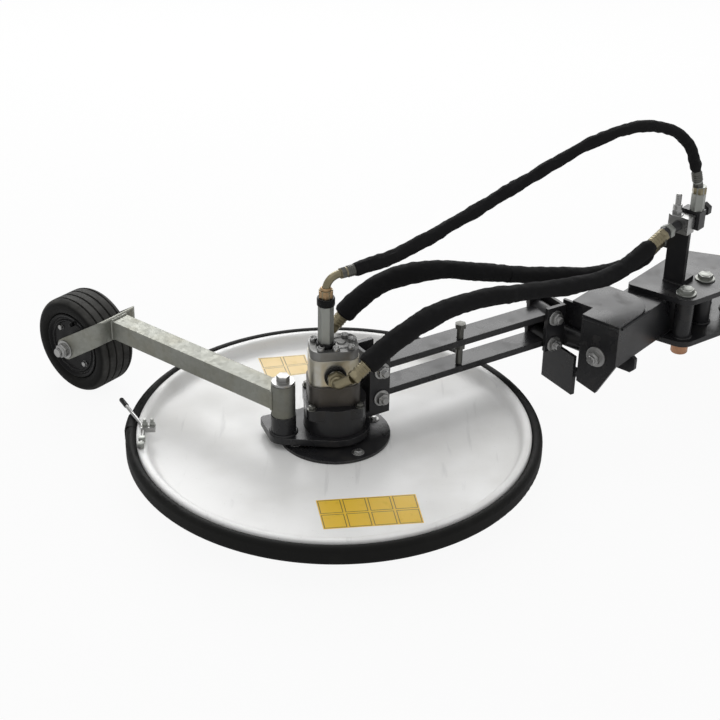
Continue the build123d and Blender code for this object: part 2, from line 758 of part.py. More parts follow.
def end_plate():
    half = BOOM_W / 2
    outline = Polyline(
        (-half, BOOM_TOP),
        (half, BOOM_TOP),
        (half, END_LEFT_Z),
        (END_TIP_Y, END_TIP_Z),
        (-half, END_RIGHT_Z),
        close=True,
    )
    plate = extrude(Plane.YZ * make_face(outline), END_T)
    return BOOM * (plate - roll_bore(-1, END_T + 1, ROLL_BOLT_R + SEAT_GAP))


def ear_plate():
    """The second plate that carries the roll bolt, its lower corner out beyond the box's wall."""
    half = BOOM_W / 2
    inside = BOOM_WALL - half + SEAT_GAP
    out = -half - EAR_OUT
    under = BOOM_LOW - SIDE_GAP
    outline = Polyline(
        (inside, BOOM_TOP),
        (half, BOOM_TOP),
        (half, EAR_LOW + EAR_CUT_H),
        (half - EAR_CUT_W, EAR_LOW),
        (out + 8, EAR_LOW),
        (out, EAR_LOW + 8),
        (out, under - 4),
        (out + 6, under),
        (inside, under),
        close=True,
    )
    plate = Pos(EAR_AT, 0, 0) * extrude(Plane.YZ * make_face(outline), EAR_T)
    return BOOM * (plate - roll_bore(EAR_AT - 1, EAR_AT + EAR_T + 1, ROLL_BOLT_R + SEAT_GAP))


def cap_plate():
    half = BOOM_W / 2
    outline = Polyline(
        (0, -half),
        (0, half),
        (CAP_NOTCH, half),
        (CAP_NOTCH, half + CAP_WING),
        (CAP_LENGTH, half + CAP_WING),
        (CAP_LENGTH, -half),
        close=True,
    )
    plate = extrude(make_face(outline), CAP_T)
    corner = plate.edges().filter_by(Axis.Z).sort_by(Axis.X)[-2:].sort_by(Axis.Y)[0]
    return BOOM * Pos(0, 0, BOOM_TOP) * fillet(corner, CAP_CORNER)


def cross_tube():
    """The tube from the far clevis, cut to meet it, to the sleeve that the roll bolt holds in the box."""
    web = (BOOM.inverse() * LINK * Pos(LINK_FAR + CLEVIS_BACK + WEB_T, 0, 0)).position
    tube = BOOM * across(CROSS_R, ROLL_Y, web.Y + BOOM_W, CROSS_AT, CROSS_Z)
    behind = LINK * block(0, LINK_FAR + CLEVIS_BACK + WEB_T, -BOOM_W * 2, BOOM_W * 2, 0, BOOM_TOP * 2)
    sleeve = roll_bore(END_T + SIDE_GAP, EAR_AT - SIDE_GAP, ROLL_SLEEVE_R)
    bore = roll_bore(END_T, EAR_AT, ROLL_BOLT_R + SEAT_GAP)
    return tube - behind + BOOM * sleeve - BOOM * bore


def roll_bolt():
    far = EAR_AT + EAR_T
    shank = roll_bore(-ROLL_WASHER_T, far + ROLL_HEAD_T, ROLL_BOLT_R)
    washer = roll_bore(-ROLL_WASHER_T, 0, ROLL_WASHER_R)
    head = Rot(0, 90, 0) * extrude(RegularPolygon(ROLL_HEAD_R, 6), ROLL_HEAD_T)
    front = Pos(-ROLL_WASHER_T - ROLL_HEAD_T, ROLL_Y, CROSS_Z) * head
    back = Pos(far, ROLL_Y, CROSS_Z) * head
    return BOOM * (shank + washer + front + back)


def guard_shoe():
    """The plate below the far clevis that keeps stems away, its top edge bent back."""
    x = LINK_FAR + CLEVIS_BACK
    outline = Polyline(
        (x, SHOE_LOW),
        (x, SHOE_BEND_Z),
        (x + SHOE_BEND, SHOE_BEND_Z + SHOE_BEND),
        (x + SHOE_BEND + SHOE_T * 0.7, SHOE_BEND_Z + SHOE_BEND - SHOE_T * 0.7),
        (x + SHOE_T, SHOE_BEND_Z - SHOE_T * 0.4),
        (x + SHOE_T, SHOE_LOW),
        close=True,
    )
    shoe = Pos(0, SHOE_LEFT, 0) * extrude(Plane.XZ * make_face(outline), SHOE_LEFT - SHOE_RIGHT)
    neck = block(x, x + WEB_T, SHOE_NECK_RIGHT, SHOE_LEFT, SHOE_BEND_Z - 2, FAR_CLEVIS_LOW)
    return LINK * (shoe + neck)


def pivot_plate(low):
    corner = 8
    plate = hull_plate(
        [
            (PLATE_FRONT + corner, PLATE_LEFT - corner, corner),
            (BOLT_1_X, BOLT_1_Y, BOLT_EYE_R),
            (SWING_X, SWING_Y, SWING_EYE_R),
            (BOOM_END - corner, PLATE_LEFT - corner, corner),
        ],
        low,
        low + PLATE_T,
    )
    holes = [
        cyl(PIVOT_BOLT_R + SEAT_GAP, low, low + PLATE_T, BOLT_1_X, BOLT_1_Y),
        cyl(PIVOT_BOLT_R + SEAT_GAP, low, low + PLATE_T, BOLT_2_X, BOLT_2_Y),
        cyl(SWING_BORE_R, low, low + PLATE_T, SWING_X, SWING_Y),
    ]
    for hole in holes:
        plate -= hole
    return BOOM * plate


def spacer_tubes():
    low, high = PLATE_BOTTOM_TOP, PLATE_TOP_LOW
    tubes = []
    for x, y in ((BOLT_1_X, BOLT_1_Y), (BOLT_2_X, BOLT_2_Y)):
        tubes.append(cyl(BOLT_TUBE_R, low, high, x, y) - cyl(PIVOT_BOLT_R + SEAT_GAP, low, high, x, y))
    return BOOM * Compound(children=tubes)


def swing_tube():
    low, high = PLATE_BOTTOM_TOP, PLATE_TOP_LOW
    tube = cyl(SWING_TUBE_R, low, high, SWING_X, SWING_Y) - cyl(SWING_BORE_R, low, high, SWING_X, SWING_Y)
    return BOOM * tube


def bushing():
    high = PLATE_BOTTOM_TOP - PLATE_T
    ring = cyl(BUSHING_R, high - BUSHING_DROP, high) - cyl(PIVOT_BOLT_R + SEAT_GAP, high - BUSHING_DROP, high)
    return BOOM * Pos(BOLT_1_X, BOLT_1_Y, 0) * ring


def pivot_bolts():
    low = PLATE_BOTTOM_TOP - PLATE_T
    bolts = []
    for x, y, drop in ((BOLT_1_X, BOLT_1_Y, BUSHING_DROP), (BOLT_2_X, BOLT_2_Y, 0)):
        shank = cyl(PIVOT_BOLT_R, low - drop, PLATE_TOP, x, y)
        bolts.append(shank + hexagon(PIVOT_HEAD_R, PLATE_TOP, PLATE_TOP + PIVOT_HEAD_H, x, y))
    return BOOM * Compound(children=bolts)


def pipe_start(route):
    """Where a hose's ferrule meets its pipe, in the boom's frame."""
    return (BOOM.inverse() * Pos(*after(route, CRIMP_L))).position


def pipe_bore(start, x0, x1, radius):
    """A cylinder along the boom on a pipe's axis."""
    return Pos((x0 + x1) / 2, start.Y, start.Z) * Rot(0, 90, 0) * Cylinder(radius, x1 - x0)


def hose_post(upper, lower):
    middle, half = pipe_start(upper).Y, POST_W / 2
    low_pipe = pipe_start(lower)
    upright = block(POST_X, POST_X + POST_T, middle - half, middle + half, PLATE_TOP, POST_TOP)
    foot = block(POST_X, POST_X + POST_W, middle - half, middle + half, PLATE_TOP, PLATE_TOP + POST_T)
    reach = low_pipe.Y + PIPE_R + 3
    lug = block(POST_X, POST_X + POST_T, middle, reach, low_pipe.Z - LUG_W, low_pipe.Z + LUG_W)
    hole = pipe_bore(low_pipe, POST_X - 1, POST_X + POST_T + 1, PIPE_R + SEAT_GAP)
    return BOOM * (upright + foot + lug - hole)


def clamp_block(route):
    """The alloy block on the post that holds the upper pipe."""
    start = pipe_start(route)
    x, half = POST_X + POST_T / 2 - BLOCK_L / 2, BLOCK_W / 2
    body = block(x, x + BLOCK_L, start.Y - half, start.Y + half, POST_TOP, POST_TOP + BLOCK_H)
    return BOOM * (body - pipe_bore(start, x - 1, x + BLOCK_L + 1, PIPE_R + SEAT_GAP))


def pipe(route):
    """A rigid pipe on from a hose's ferrule, with a hexagonal cap."""
    start = pipe_start(route)
    tube = pipe_bore(start, start.X, PIPE_END, PIPE_R)
    knuckle = Pos(start.X, start.Y, start.Z) * Sphere(FERRULE_R)
    hexagonal = Rot(0, 90, 0) * extrude(RegularPolygon(PIPE_CAP_R, 6), PIPE_CAP_L)
    cap = Pos(PIPE_END - 1, start.Y, start.Z) * hexagonal
    return tube + knuckle + cap


def upper_pipe(route, drain_route):
    """The upper pipe with the tee below the drain line's adapter."""
    start = pipe_start(route)
    foot = (BOOM.inverse() * Pos(*stand_foot(drain_route))).position
    low = start.Z - PIPE_R - 3
    right = foot.Y - HEX_R
    tee = block(foot.X - TEE_L / 2, foot.X + TEE_L / 2, right, start.Y + TEE_OVER, low, STAND_LOW)
    return BOOM * (pipe(route) + tee)


def lower_pipe(route):
    return BOOM * pipe(route)


def end_ferrule(route):
    """The crimped ferrule from the end of a hose to its pipe."""
    centre = BOOM * Pos(*pipe_start(route))
    return rod(route[-1], after(route, CRIMP_L), FERRULE_R) - centre * Sphere(FERRULE_R + SEAT_GAP)


def stand_foot(route):
    """Where the line of the drain hose's last run reaches the top of its adapter."""
    a, b = route[-2], route[-1]
    return b + (b - a) * ((b.Z - STAND_LOW - STAND_H) / (a.Z - b.Z))


def drain_stand(route):
    """The upright adapter on the upper pipe's tee, with the nut and ferrule at the end of the drain hose."""
    foot = stand_foot(route)
    adapter = hexagon(HEX_R, STAND_LOW, foot.Z, foot.X, foot.Y)
    nut = cyl(NUT_HEX_R, foot.Z, foot.Z + NUT_HEX_H, foot.X, foot.Y)
    return adapter + nut + rod(route[-1], foot, DRAIN_FERRULE_R)


front_line = drawn_out(FRONT_ROUTE)
rear_line = drawn_out(REAR_ROUTE)
drain_line = drawn_out(DRAIN_ROUTE)
parts = {
    "cover_disc": cover_disc(),
    "cover_flange": cover_flange(),
    "bumper_band": bumper_band(),
    "bearing_housing": bearing_housing(),
    "cover_nut": cover_nut(),
    "carrier": carrier(),
    "arm_pin": arm_pin(),
    "arm_sleeve": arm_sleeve(),
    "arm_tube": arm_tube(),
    "fork": fork(),
    "axle": axle(),
    "tyre": tyre(),
    "wheel_rim": wheel_rim(),
    "rotor": rotor(),
    "knives": knives(),
    "skid_saucer": skid_saucer(),
    "saucer_bolt": saucer_bolt(),
    "near_clevis": near_clevis(),
    "far_clevis": far_clevis(),
    "near_link_bolts": link_bolts(LINK_NEAR),
    "far_link_bolts": link_bolts(LINK_FAR),
    "upper_link": upper_link(),
    "lower_link": lower_link(),
    "stop_screw": stop_screw(),
    "motor_flange": motor_flange(),
    "motor_body": motor_body(),
    "motor_cover": motor_cover(),
    "drain_adapter": drain_adapter(),
    "drain_elbow": drain_elbow(drain_line),
    "front_elbow": port_elbow(front_line, -1),
    "rear_elbow": port_elbow(rear_line, 1),
    "boom_tube": boom_tube(),
    "end_plate": end_plate(),
    "cap_plate": cap_plate(),
    "ear_plate": ear_plate(),
    "roll_bolt": roll_bolt(),
    "cross_tube": cross_tube(),
    "guard_shoe": guard_shoe(),
    "top_pivot_plate": pivot_plate(PLATE_TOP_LOW),
    "bottom_pivot_plate": pivot_plate(PLATE_BOTTOM_TOP - PLATE_T),
    "spacer_tubes": spacer_tubes(),
    "swing_tube": swing_tube(),
    "bushing": bushing(),
    "pivot_bolts": pivot_bolts(),
    "hose_post": hose_post(front_line, rear_line),
    "clamp_block": clamp_block(front_line),
    "upper_pipe": upper_pipe(front_line, drain_line),
    "lower_pipe": lower_pipe(rear_line),
    "front_ferrule": end_ferrule(front_line),
    "rear_ferrule": end_ferrule(rear_line),
    "drain_stand": drain_stand(drain_line),
    "rim_wire": rim_wire(),
}
hoses = {
    "front_hose": hose(front_line, HOSE_R, "front_hose"),
    "rear_hose": hose(rear_line, HOSE_R, "rear_hose"),
    "drain_hose": hose(drain_line, DRAIN_HOSE_R, "drain_hose"),
}

boxes = [p.bounding_box() for p in parts.values()]
middle_x = (min(b.min.X for b in boxes) + max(b.max.X for b in boxes)) / 2
middle_y = (min(b.min.Y for b in boxes) + max(b.max.Y for b in boxes)) / 2
TO_ORIGIN = Pos(-middle_x, -middle_y, 0)
print("spindle at", round(-middle_x, 3), round(-middle_y, 3))

os.makedirs("parts", exist_ok=True)
for name, solid in {**parts, **hoses}.items():
    export_step(TO_ORIGIN * solid, f"parts/{name}.step")
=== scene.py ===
"""Finishes for an inter-row disc mower head: paint, metals, rubber and woven hose sleeves over the frame,
with the fasteners, fittings, welds, labels and hoses that the frame leaves plain."""

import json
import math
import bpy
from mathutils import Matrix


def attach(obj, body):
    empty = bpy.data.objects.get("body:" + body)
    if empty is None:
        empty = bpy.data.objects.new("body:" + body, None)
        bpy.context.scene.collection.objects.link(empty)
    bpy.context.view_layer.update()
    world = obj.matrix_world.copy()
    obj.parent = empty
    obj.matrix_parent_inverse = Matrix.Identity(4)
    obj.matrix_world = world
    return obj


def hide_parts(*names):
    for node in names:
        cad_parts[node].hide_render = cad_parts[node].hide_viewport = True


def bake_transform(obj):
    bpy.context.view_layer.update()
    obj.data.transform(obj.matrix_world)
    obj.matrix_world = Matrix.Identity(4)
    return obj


bl_info = {
    "name": "Disc mower head",
    "version": (1, 0, 0),
    "blender": (4, 5, 0),
    "location": "3D View > Sidebar > Mower",
    "description": "Dresses the frame of an inter-row disc mower head",
    "category": "Object",
}

import bmesh
import bpy
from bpy.props import FloatProperty, FloatVectorProperty, IntProperty, PointerProperty
from mathutils import Matrix, Vector, noise

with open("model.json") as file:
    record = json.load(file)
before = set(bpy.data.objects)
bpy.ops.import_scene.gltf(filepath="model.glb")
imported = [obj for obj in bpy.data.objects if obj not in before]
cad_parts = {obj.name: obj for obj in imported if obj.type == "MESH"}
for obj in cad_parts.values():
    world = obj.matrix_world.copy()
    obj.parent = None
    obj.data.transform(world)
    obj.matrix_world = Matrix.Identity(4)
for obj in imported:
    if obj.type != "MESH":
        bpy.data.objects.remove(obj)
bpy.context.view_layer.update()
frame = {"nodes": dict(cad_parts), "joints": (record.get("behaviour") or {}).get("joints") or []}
JOINTS = {joint["name"]: joint for joint in frame["joints"]}
SPINDLE = Vector((*JOINTS["rotor_spin"]["pos_m"][:2], 0.0))
MM = 0.001


def place(x, y, z):
    """A point given in millimetres from the spindle at ground level."""
    return SPINDLE + Vector((x, y, z)) * MM


def turned_about(origin, heading):
    """A frame at a point, turned about the vertical by a heading in degrees."""
    return Matrix.Translation(origin) @ Matrix.Rotation(math.radians(heading), 4, "Z")


# Headings in degrees, places in millimetres from the spindle
LINK_HEADING = 32.5
MOTOR_HEADING = 8.0
BOOM_HEADING = 50.0
ARM_HEADING = 142.0
ARM_PIN = (-84, -30)
LINK_SIDE = 14
WORLD = Matrix.Translation(SPINDLE)
LINK = turned_about(SPINDLE, LINK_HEADING) @ Matrix.Translation((0, LINK_SIDE * MM, 0))
MOTOR = turned_about(place(-3, 0, 0), MOTOR_HEADING)
BOOM = turned_about(place(460.5, 173.46, 0), BOOM_HEADING)
ARM = turned_about(place(*ARM_PIN, 0), ARM_HEADING)
WHEEL = turned_about(Vector(JOINTS["wheel_roll"]["pos_m"]), ARM_HEADING)

# Heights above the ground, in millimetres
COVER_FLANGE_TOP = 67
LABEL_Z = 62.15
MOTOR_FLANGE_TOP = 137
MOTOR_TOP = 237
PORT_Z = 193
ADAPTER_TOP = 325.3
STAND_TOP = 370
LINK_HEIGHTS = (117, 169)
BOX_LOW, BOX_HIGH = 111.6, 186.4
PIVOT_PLATE_TOP, PIVOT_PLATE_UNDER = 197, 101
CLAMP_TOP = 331
CLIP_TOP = 91
WIRE_Z = 86.5

# Places in millimetres in the frame of the piece that carries them
NEAR_PIVOT, FAR_PIVOT = 81, 450
PIVOT_BOLTS = ((187, -62), (262, -58))
SWING_PIVOT = (345, -86)
ROLL_BOLT = (2, 121)
CLAMP_STUD = (206, -13)
BOX_SIDE = -38.4
DRAIN_PORT = (-15, -8)
CLIP_HEADING = 185.5
WIRE_SEAT_X = 317
WIRE_TAIL, WIRE_END = Vector((43, -95, 0)), Vector((5, 60, 0))

# Hose routes, in millimetres from the spindle
FRONT_ROUTE = [
    (52, -57, 229), (89, -34, 257), (137, -3, 280), (196, 33, 294),
    (270, 80, 289), (345, 128, 274), (420, 176, 262), (480, 214, 262),
    (517, 236, 278), (552, 261, 300),
]
REAR_ROUTE = [
    (12, 71, 252), (42, 78, 288), (86, 90, 310), (140, 108, 318),
    (210, 136, 307), (290, 170, 282), (370, 205, 264), (450, 238, 250),
    (506, 266, 250), (540, 288, 256), (559, 310, 264),
]
DRAIN_ROUTE = [
    (30, 16, 363), (66, 36, 365), (120, 66, 378), (190, 101, 407),
    (268, 141, 441), (350, 183, 477), (432, 226, 510), (508, 267, 521),
    (570, 299, 503), (604, 315, 474), (622, 324, 440), (629, 327, 412),
]


def colour(name, description, rgb):
    """A colour setting."""
    return FloatVectorProperty(
        name=name, description=description, default=rgb, size=3, min=0.0, max=1.0, subtype="COLOR"
    )


def length(name, description, metres):
    """A length setting."""
    return FloatProperty(
        name=name, description=description, default=metres, min=0.0, unit="LENGTH", subtype="DISTANCE"
    )


class MowerColours(bpy.types.PropertyGroup):
    """Colours of the mower's finishes."""

    cover_white: colour("Cover white", "Paint of the turning cover", (0.89, 0.89, 0.88))
    frame_black: colour("Frame black", "Paint of the links, clevises and boom", (0.015, 0.015, 0.0165))
    rubber_black: colour("Rubber black", "Rubber round the rim and of the tyre", (0.0065, 0.0065, 0.006))
    tread_dust: colour("Tread dust", "Dust on the tyre's tread", (0.075, 0.074, 0.070))
    motor_alloy: colour("Motor alloy", "Bare alloy of the motor's body", (0.52, 0.51, 0.47))
    cover_alloy: colour("Motor cover", "Alloy of the motor's end cover", (0.22, 0.22, 0.215))
    casting: colour("Casting", "Block below the motor", (0.060, 0.054, 0.048))
    zinc: colour("Zinc", "Galvanised arm and fork", (0.30, 0.305, 0.275))
    # Darker copy of the zinc for the arm's sleeve: painted shade, as the sleeve sits in shade
    zinc_in_painted_shade: colour("Zinc in painted shade", "Sleeve on the arm's pin", (0.22, 0.225, 0.205))
    bright_zinc: colour("Bright zinc", "Bolts, nuts and pins", (0.40, 0.40, 0.395))
    # Also given to the pivot plates' bolts and washers, where the darker grey is a painted dark reflection
    adapter_grey: colour("Adapter grey", "Hexagonal adapters", (0.32, 0.33, 0.31))
    olive_zinc: colour("Olive zinc", "Hose ferrules and elbows", (0.28, 0.245, 0.16))
    brass: colour("Brass", "Brass nuts", (0.40, 0.27, 0.15))
    dark_steel: colour("Dark steel", "Stop screw, drain ferrules and flange bolts", (0.13, 0.13, 0.12))
    copper: colour("Bushing copper", "Bushing under the pivot plates", (0.55, 0.30, 0.18))
    label_yellow: colour("Label yellow", "Blank label at the front", (0.78, 0.50, 0.03))
    label_pale: colour("Label pale", "Faded blank label at the back", (0.82, 0.60, 0.24))
    blade_steel: colour("Blade steel", "Rotor, knives and skid", (0.28, 0.27, 0.26))
    sleeve_black: colour("Sleeve black", "Woven hose sleeves", (0.006, 0.006, 0.0065))


class MowerSizes(bpy.types.PropertyGroup):
    """Sizes of the pieces that are added to the frame."""

    hose_radius: length("Hose radius", "Outside of the pressure hoses' sleeves", 0.015)
    drain_radius: length("Drain radius", "Outside of the drain hose's sleeve", 0.010)
    slack: FloatProperty(
        name="Slack", description="How much wider a sleeve is at the motor", default=0.22, min=0, max=0.5
    )
    wrinkle: length("Wrinkle", "Height of the sleeves' folds", 0.0019)
    hose_sides: IntProperty(name="Hose sides", description="Faces round a hose", default=28, min=8, max=64)
    weld_radius: length("Weld radius", "Half width of the weld beads", 0.0028)


class Term:
    """A shader socket that takes part in Python arithmetic."""

    def __init__(self, finish, socket):
        self.finish = finish
        self.socket = socket

    def maths(self, operation, *values):
        """A Math node on values, this socket among them."""
        return self.finish.node("ShaderNodeMath", {"operation": operation}, dict(enumerate(values)))

    def __add__(self, other):
        return self.maths("ADD", self, other)

    def __sub__(self, other):
        return self.maths("SUBTRACT", self, other)

    def __rsub__(self, other):
        return self.maths("SUBTRACT", other, self)

    def __mul__(self, other):
        return self.maths("MULTIPLY", self, other)

    def __gt__(self, other):
        return self.maths("GREATER_THAN", self, other)

    def __lt__(self, other):
        return self.maths("LESS_THAN", self, other)

    def smooth(self, low, high):
        """0 below low and 1 above high, with a soft step between."""
        settings = {"interpolation_type": "SMOOTHSTEP", "clamp": True}
        inputs = {"Value": self, "From Min": low, "From Max": high}
        return self.finish.node("ShaderNodeMapRange", settings, inputs)


FINISHES = {}  # materials by the name of the finish


class Finish:
    """One material, with its nodes made by expressions."""

    def __init__(self, name):
        self.name = name
        self.material = bpy.data.materials.new(f"{name}_finish")
        self.material.use_nodes = True
        self.tree = self.material.node_tree
        self.tree.nodes.clear()
        self.coordinates = self.node("ShaderNodeTexCoord", output="Object")

    def node(self, kind, settings=None, inputs=None, output=0):
        """Adds a node, sets it up and feeds its sockets."""
        made = self.tree.nodes.new(kind)
        for key, value in (settings or {}).items():
            setattr(made, key, value)
        for key, value in (inputs or {}).items():
            self.feed(made.inputs[key], value)
        return Term(self, made.outputs[output]) if made.outputs else made

    def feed(self, socket, value):
        """Links a socket to another node, or sets its value."""
        if isinstance(value, Term):
            self.tree.links.new(value.socket, socket)
        elif socket.type == "RGBA":
            socket.default_value = (*value, 1.0)
        else:
            socket.default_value = value

    def noise(self, scale, detail=3.0, stretch=(1, 1, 1)):
        """Noise in cycles a metre, from 0 to 1."""
        vector = self.node("ShaderNodeMapping", None, {"Vector": self.coordinates, "Scale": stretch})
        return self.node("ShaderNodeTexNoise", None, {"Vector": vector, "Scale": scale, "Detail": detail})

    def mix(self, share, first, second):
        """A colour between two colours."""
        return self.node("ShaderNodeMix", {"data_type": "RGBA"}, {0: share, 6: first, 7: second}, 2)

    def split(self, vector):
        """The three parts of a vector."""
        node = self.node("ShaderNodeSeparateXYZ", None, {0: vector}).socket.node
        return [Term(self, output) for output in node.outputs]

    def round_edges(self, radius):
        """A normal that rolls over the edges of plain solids."""
        return self.node("ShaderNodeBevel", {"samples": 4}, {"Radius": radius})

    def edge_mask(self, radius):
        """1 along edges, 0 on flats."""
        rolled = self.round_edges(radius)
        flat = self.node("ShaderNodeNewGeometry", output="Normal")
        dot = {"operation": "DOT_PRODUCT"}
        same = self.node("ShaderNodeVectorMath", dot, {0: rolled, 1: flat}, "Value")
        return (1 - same).smooth(0.01, 0.16)

    def bump(self, height, strength, distance, normal=None):
        """A normal with relief; the distance is in metres."""
        inputs = {"Height": height, "Strength": strength, "Distance": distance}
        if normal is not None:
            inputs["Normal"] = normal
        return self.node("ShaderNodeBump", None, inputs)

    def surface(self, **sockets):
        """Ends the material with a Principled shader; sockets are named with underscores."""
        named = {}
        for key, value in sockets.items():
            named[key.replace("_", " ").title().replace("Ior", "IOR")] = value
        shader = self.node("ShaderNodeBsdfPrincipled", None, named)
        self.node("ShaderNodeOutputMaterial", None, {"Surface": shader})
        FINISHES[self.name] = self.material


def tint(rgb, factor):
    """A colour made darker or lighter."""
    return tuple(min(1.0, c * factor) for c in rgb)


def cover_paint(white):
    """White gloss paint with dust, faint scuffs and specks."""
    f = Finish("cover_paint")
    dust = f.noise(7, 4).smooth(0.40, 0.72)
    scuff = f.noise(55, 5, (1, 0.12, 1)).smooth(0.64, 0.74)
    speck = f.noise(420, 1).smooth(0.74, 0.79)
    base = f.mix(dust * 0.35, white, (0.60, 0.59, 0.56))
    base = f.mix(scuff * 0.22, base, (0.42, 0.42, 0.42))
    base = f.mix(speck * 0.45, base, (0.25, 0.23, 0.21))
    normal = f.bump(f.noise(700, 2), 0.05, 0.0006, f.round_edges(0.007))
    f.surface(base_color=base, roughness=dust * 0.12 + 0.28, specular_ior_level=0.34, normal=normal)


def frame_paint(name, black, grime=(0.046, 0.043, 0.038), shine=0.36):
    """Semi-gloss black paint, rubbed at the edges and dusty."""
    f = Finish(name)
    patch = f.noise(14, 4)
    chip = (f.edge_mask(0.0014) * f.noise(160, 3)).smooth(0.40, 0.50)
    dust = f.noise(35, 5).smooth(0.5, 0.8)
    base = f.mix(dust * 0.45, black, grime)
    base = f.mix(chip * 0.45, base, (0.22, 0.215, 0.21))
    roughness = patch.smooth(0.3, 0.7) * 0.10 + dust * 0.12 + 0.24
    normal = f.bump(f.noise(420, 2), 0.10, 0.0005, f.round_edges(0.0014))
    f.surface(
        base_color=base, roughness=roughness, metallic=chip * 0.5, specular_ior_level=shine, normal=normal
    )


def rubber(name, black, wear):
    """Black rubber, scuffed lighter where it rubs."""
    f = Finish(name)
    scuff = f.noise(26, 6).smooth(0.52, 0.76)
    base = f.mix(scuff * wear, black, tint(black, 3.0))
    normal = f.bump(f.noise(900, 2), 0.25, 0.0006, f.round_edges(0.002))
    f.surface(base_color=base, roughness=scuff * 0.12 + 0.58, specular_ior_level=0.15, normal=normal)


def tyre_rubber(name, black, dust):
    """Tyre rubber with grey dust on the tread."""
    f = Finish(name)
    turn = WHEEL.inverted()
    settled = {"Vector": f.coordinates, "Location": turn.translation, "Rotation": turn.to_euler()}
    x, _, z = f.split(f.node("ShaderNodeMapping", None, settled))
    squared = x * x + z * z
    reach = squared.maths("SQRT", squared)
    cloud = f.noise(40, 5).smooth(0.25, 0.75)
    tread = reach.smooth(0.0815, 0.0875) * (cloud * 0.6 + 0.4)
    base = f.mix(tread, black, dust)
    base = f.mix(f.noise(70, 4).smooth(0.55, 0.8) * 0.2, base, tint(dust, 0.5))
    normal = f.bump(f.noise(900, 2), 0.2, 0.0006, f.round_edges(0.0015))
    f.surface(base_color=base, roughness=tread * 0.15 + 0.55, specular_ior_level=0.12, normal=normal)


def bare_metal(name, shade, stain, roughness, patina=0.35):
    """A plated or bare metal with cloudy staining and a fine grain."""
    f = Finish(name)
    cloud = f.noise(45, 5).smooth(0.35, 0.75)
    grain = f.noise(300, 3)
    rub = f.edge_mask(0.0012)
    base = f.mix(cloud * patina, shade, stain)
    base = f.mix(rub * 0.35, base, tint(shade, 1.25))
    rough = cloud * 0.18 + grain * 0.10 + roughness - 0.05
    normal = f.bump(grain, 0.12, 0.0005, f.round_edges(0.001))
    f.surface(base_color=base, metallic=0.92, roughness=rough, normal=normal)


def galvanised(name, shade):
    """Zinc coat with crystal spangle and warm tarnish."""
    f = Finish(name)
    spangle = f.node("ShaderNodeTexVoronoi", None, {"Vector": f.coordinates, "Scale": 150.0}, "Color")
    level = f.node("ShaderNodeRGBToBW", None, {"Color": spangle})
    tarnish = f.noise(20, 5).smooth(0.42, 0.70)
    base = f.mix(level * 0.30, shade, tint(shade, 0.74))
    base = f.mix(tarnish * 0.40, base, tint((0.76, 0.72, 0.53), shade[0]))
    rough = level * 0.14 + 0.44
    normal = f.bump(f.noise(220, 3), 0.10, 0.0005, f.round_edges(0.0015))
    f.surface(base_color=base, metallic=0.85, roughness=rough, normal=normal)


def casting(name, shade):
    """Rough cast metal with a dull bronze cast."""
    f = Finish(name)
    stain = f.noise(40, 4).smooth(0.4, 0.7)
    base = f.mix(stain * 0.5, shade, tint(shade, 1.7))
    base = f.mix(f.edge_mask(0.0015) * 0.3, base, (0.30, 0.28, 0.25))
    rough = stain * 0.12 + 0.40
    normal = f.bump(f.noise(620, 3), 0.3, 0.0008, f.round_edges(0.0018))
    f.surface(base_color=base, metallic=0.4, roughness=rough, normal=normal)


def woven_sleeve(name, black):
    """Black woven sleeve; its threads follow the piece's own map, in metres along and round."""
    f = Finish(name)
    along, across, _ = f.split(f.node("ShaderNodeUVMap", {"uv_map": "sleeve"}))
    pitch = 3600.0  # radians of thread a metre
    warp, weft = along * pitch, across * pitch
    threads = warp.maths("SINE", warp) * weft.maths("SINE", weft)
    dust = f.noise(55, 4).smooth(0.5, 0.8)
    base = f.mix(dust * 0.4, black, tint(black, 2.6))
    normal = f.bump(threads * 0.5 + f.noise(1300, 2), 0.40, 0.0006)
    f.surface(base_color=base, roughness=0.85, specular_ior_level=0.22, normal=normal)


def label_film(name, yellow):
    """Blank label film with thin printed frames; the map counts panels along and rows across."""
    f = Finish(name)
    along, across, _ = f.split(f.node("ShaderNodeUVMap", {"uv_map": "panels"}))
    beside = along.maths("PINGPONG", along, 0.5)
    above = across.maths("PINGPONG", across, 0.5)
    inside = beside.maths("MINIMUM", beside, above)
    wear = f.noise(90, 4).smooth(0.52, 0.8)
    base = f.mix(wear * 0.35, yellow, tint(yellow, 0.72))
    base = f.mix((inside > 0.045) * (inside < 0.080) * 0.8, base, (0.03, 0.028, 0.025))
    f.surface(base_color=base, roughness=wear * 0.2 + 0.38, normal=f.bump(f.noise(260, 2), 0.05, 0.0003))


NODE_FINISHES = {
    "cover_paint": ["cover_disc"],
    "frame_paint": [
        "cover_flange", "carrier", "bearing_housing", "near_clevis", "upper_link", "lower_link",
        "far_clevis", "cross_tube", "guard_shoe", "boom_tube", "end_plate", "ear_plate", "cap_plate",
        "top_pivot_plate", "bottom_pivot_plate", "spacer_tubes", "swing_tube", "hose_post", "upper_pipe",
        "lower_pipe",
    ],
    "bumper_rubber": ["bumper_band"],
    "tyre_rubber": ["tyre"],
    "rim_paint": ["wheel_rim"],
    "casting": ["cover_nut", "motor_flange"],
    "motor_alloy": ["motor_body"],
    "cover_alloy": ["motor_cover"],
    "galvanised": ["arm_tube", "fork"],
    # The arm's sleeve gets the darker copy of the zinc, which is painted shade
    "zinc_in_painted_shade": ["arm_sleeve"],
    "bright_zinc": [
        "arm_pin", "axle", "near_link_bolts", "far_link_bolts", "roll_bolt", "rim_wire", "clamp_block",
    ],
    # The pivot bolts take this darker grey as a painted dark reflection
    "adapter_grey": ["drain_adapter", "drain_stand", "pivot_bolts"],
    "dark_steel": ["stop_screw"],
    "olive_zinc": ["drain_elbow", "front_elbow", "rear_elbow", "front_ferrule", "rear_ferrule"],
    "copper": ["bushing"],
    "blade_steel": ["rotor", "knives", "skid_saucer", "saucer_bolt"],
}


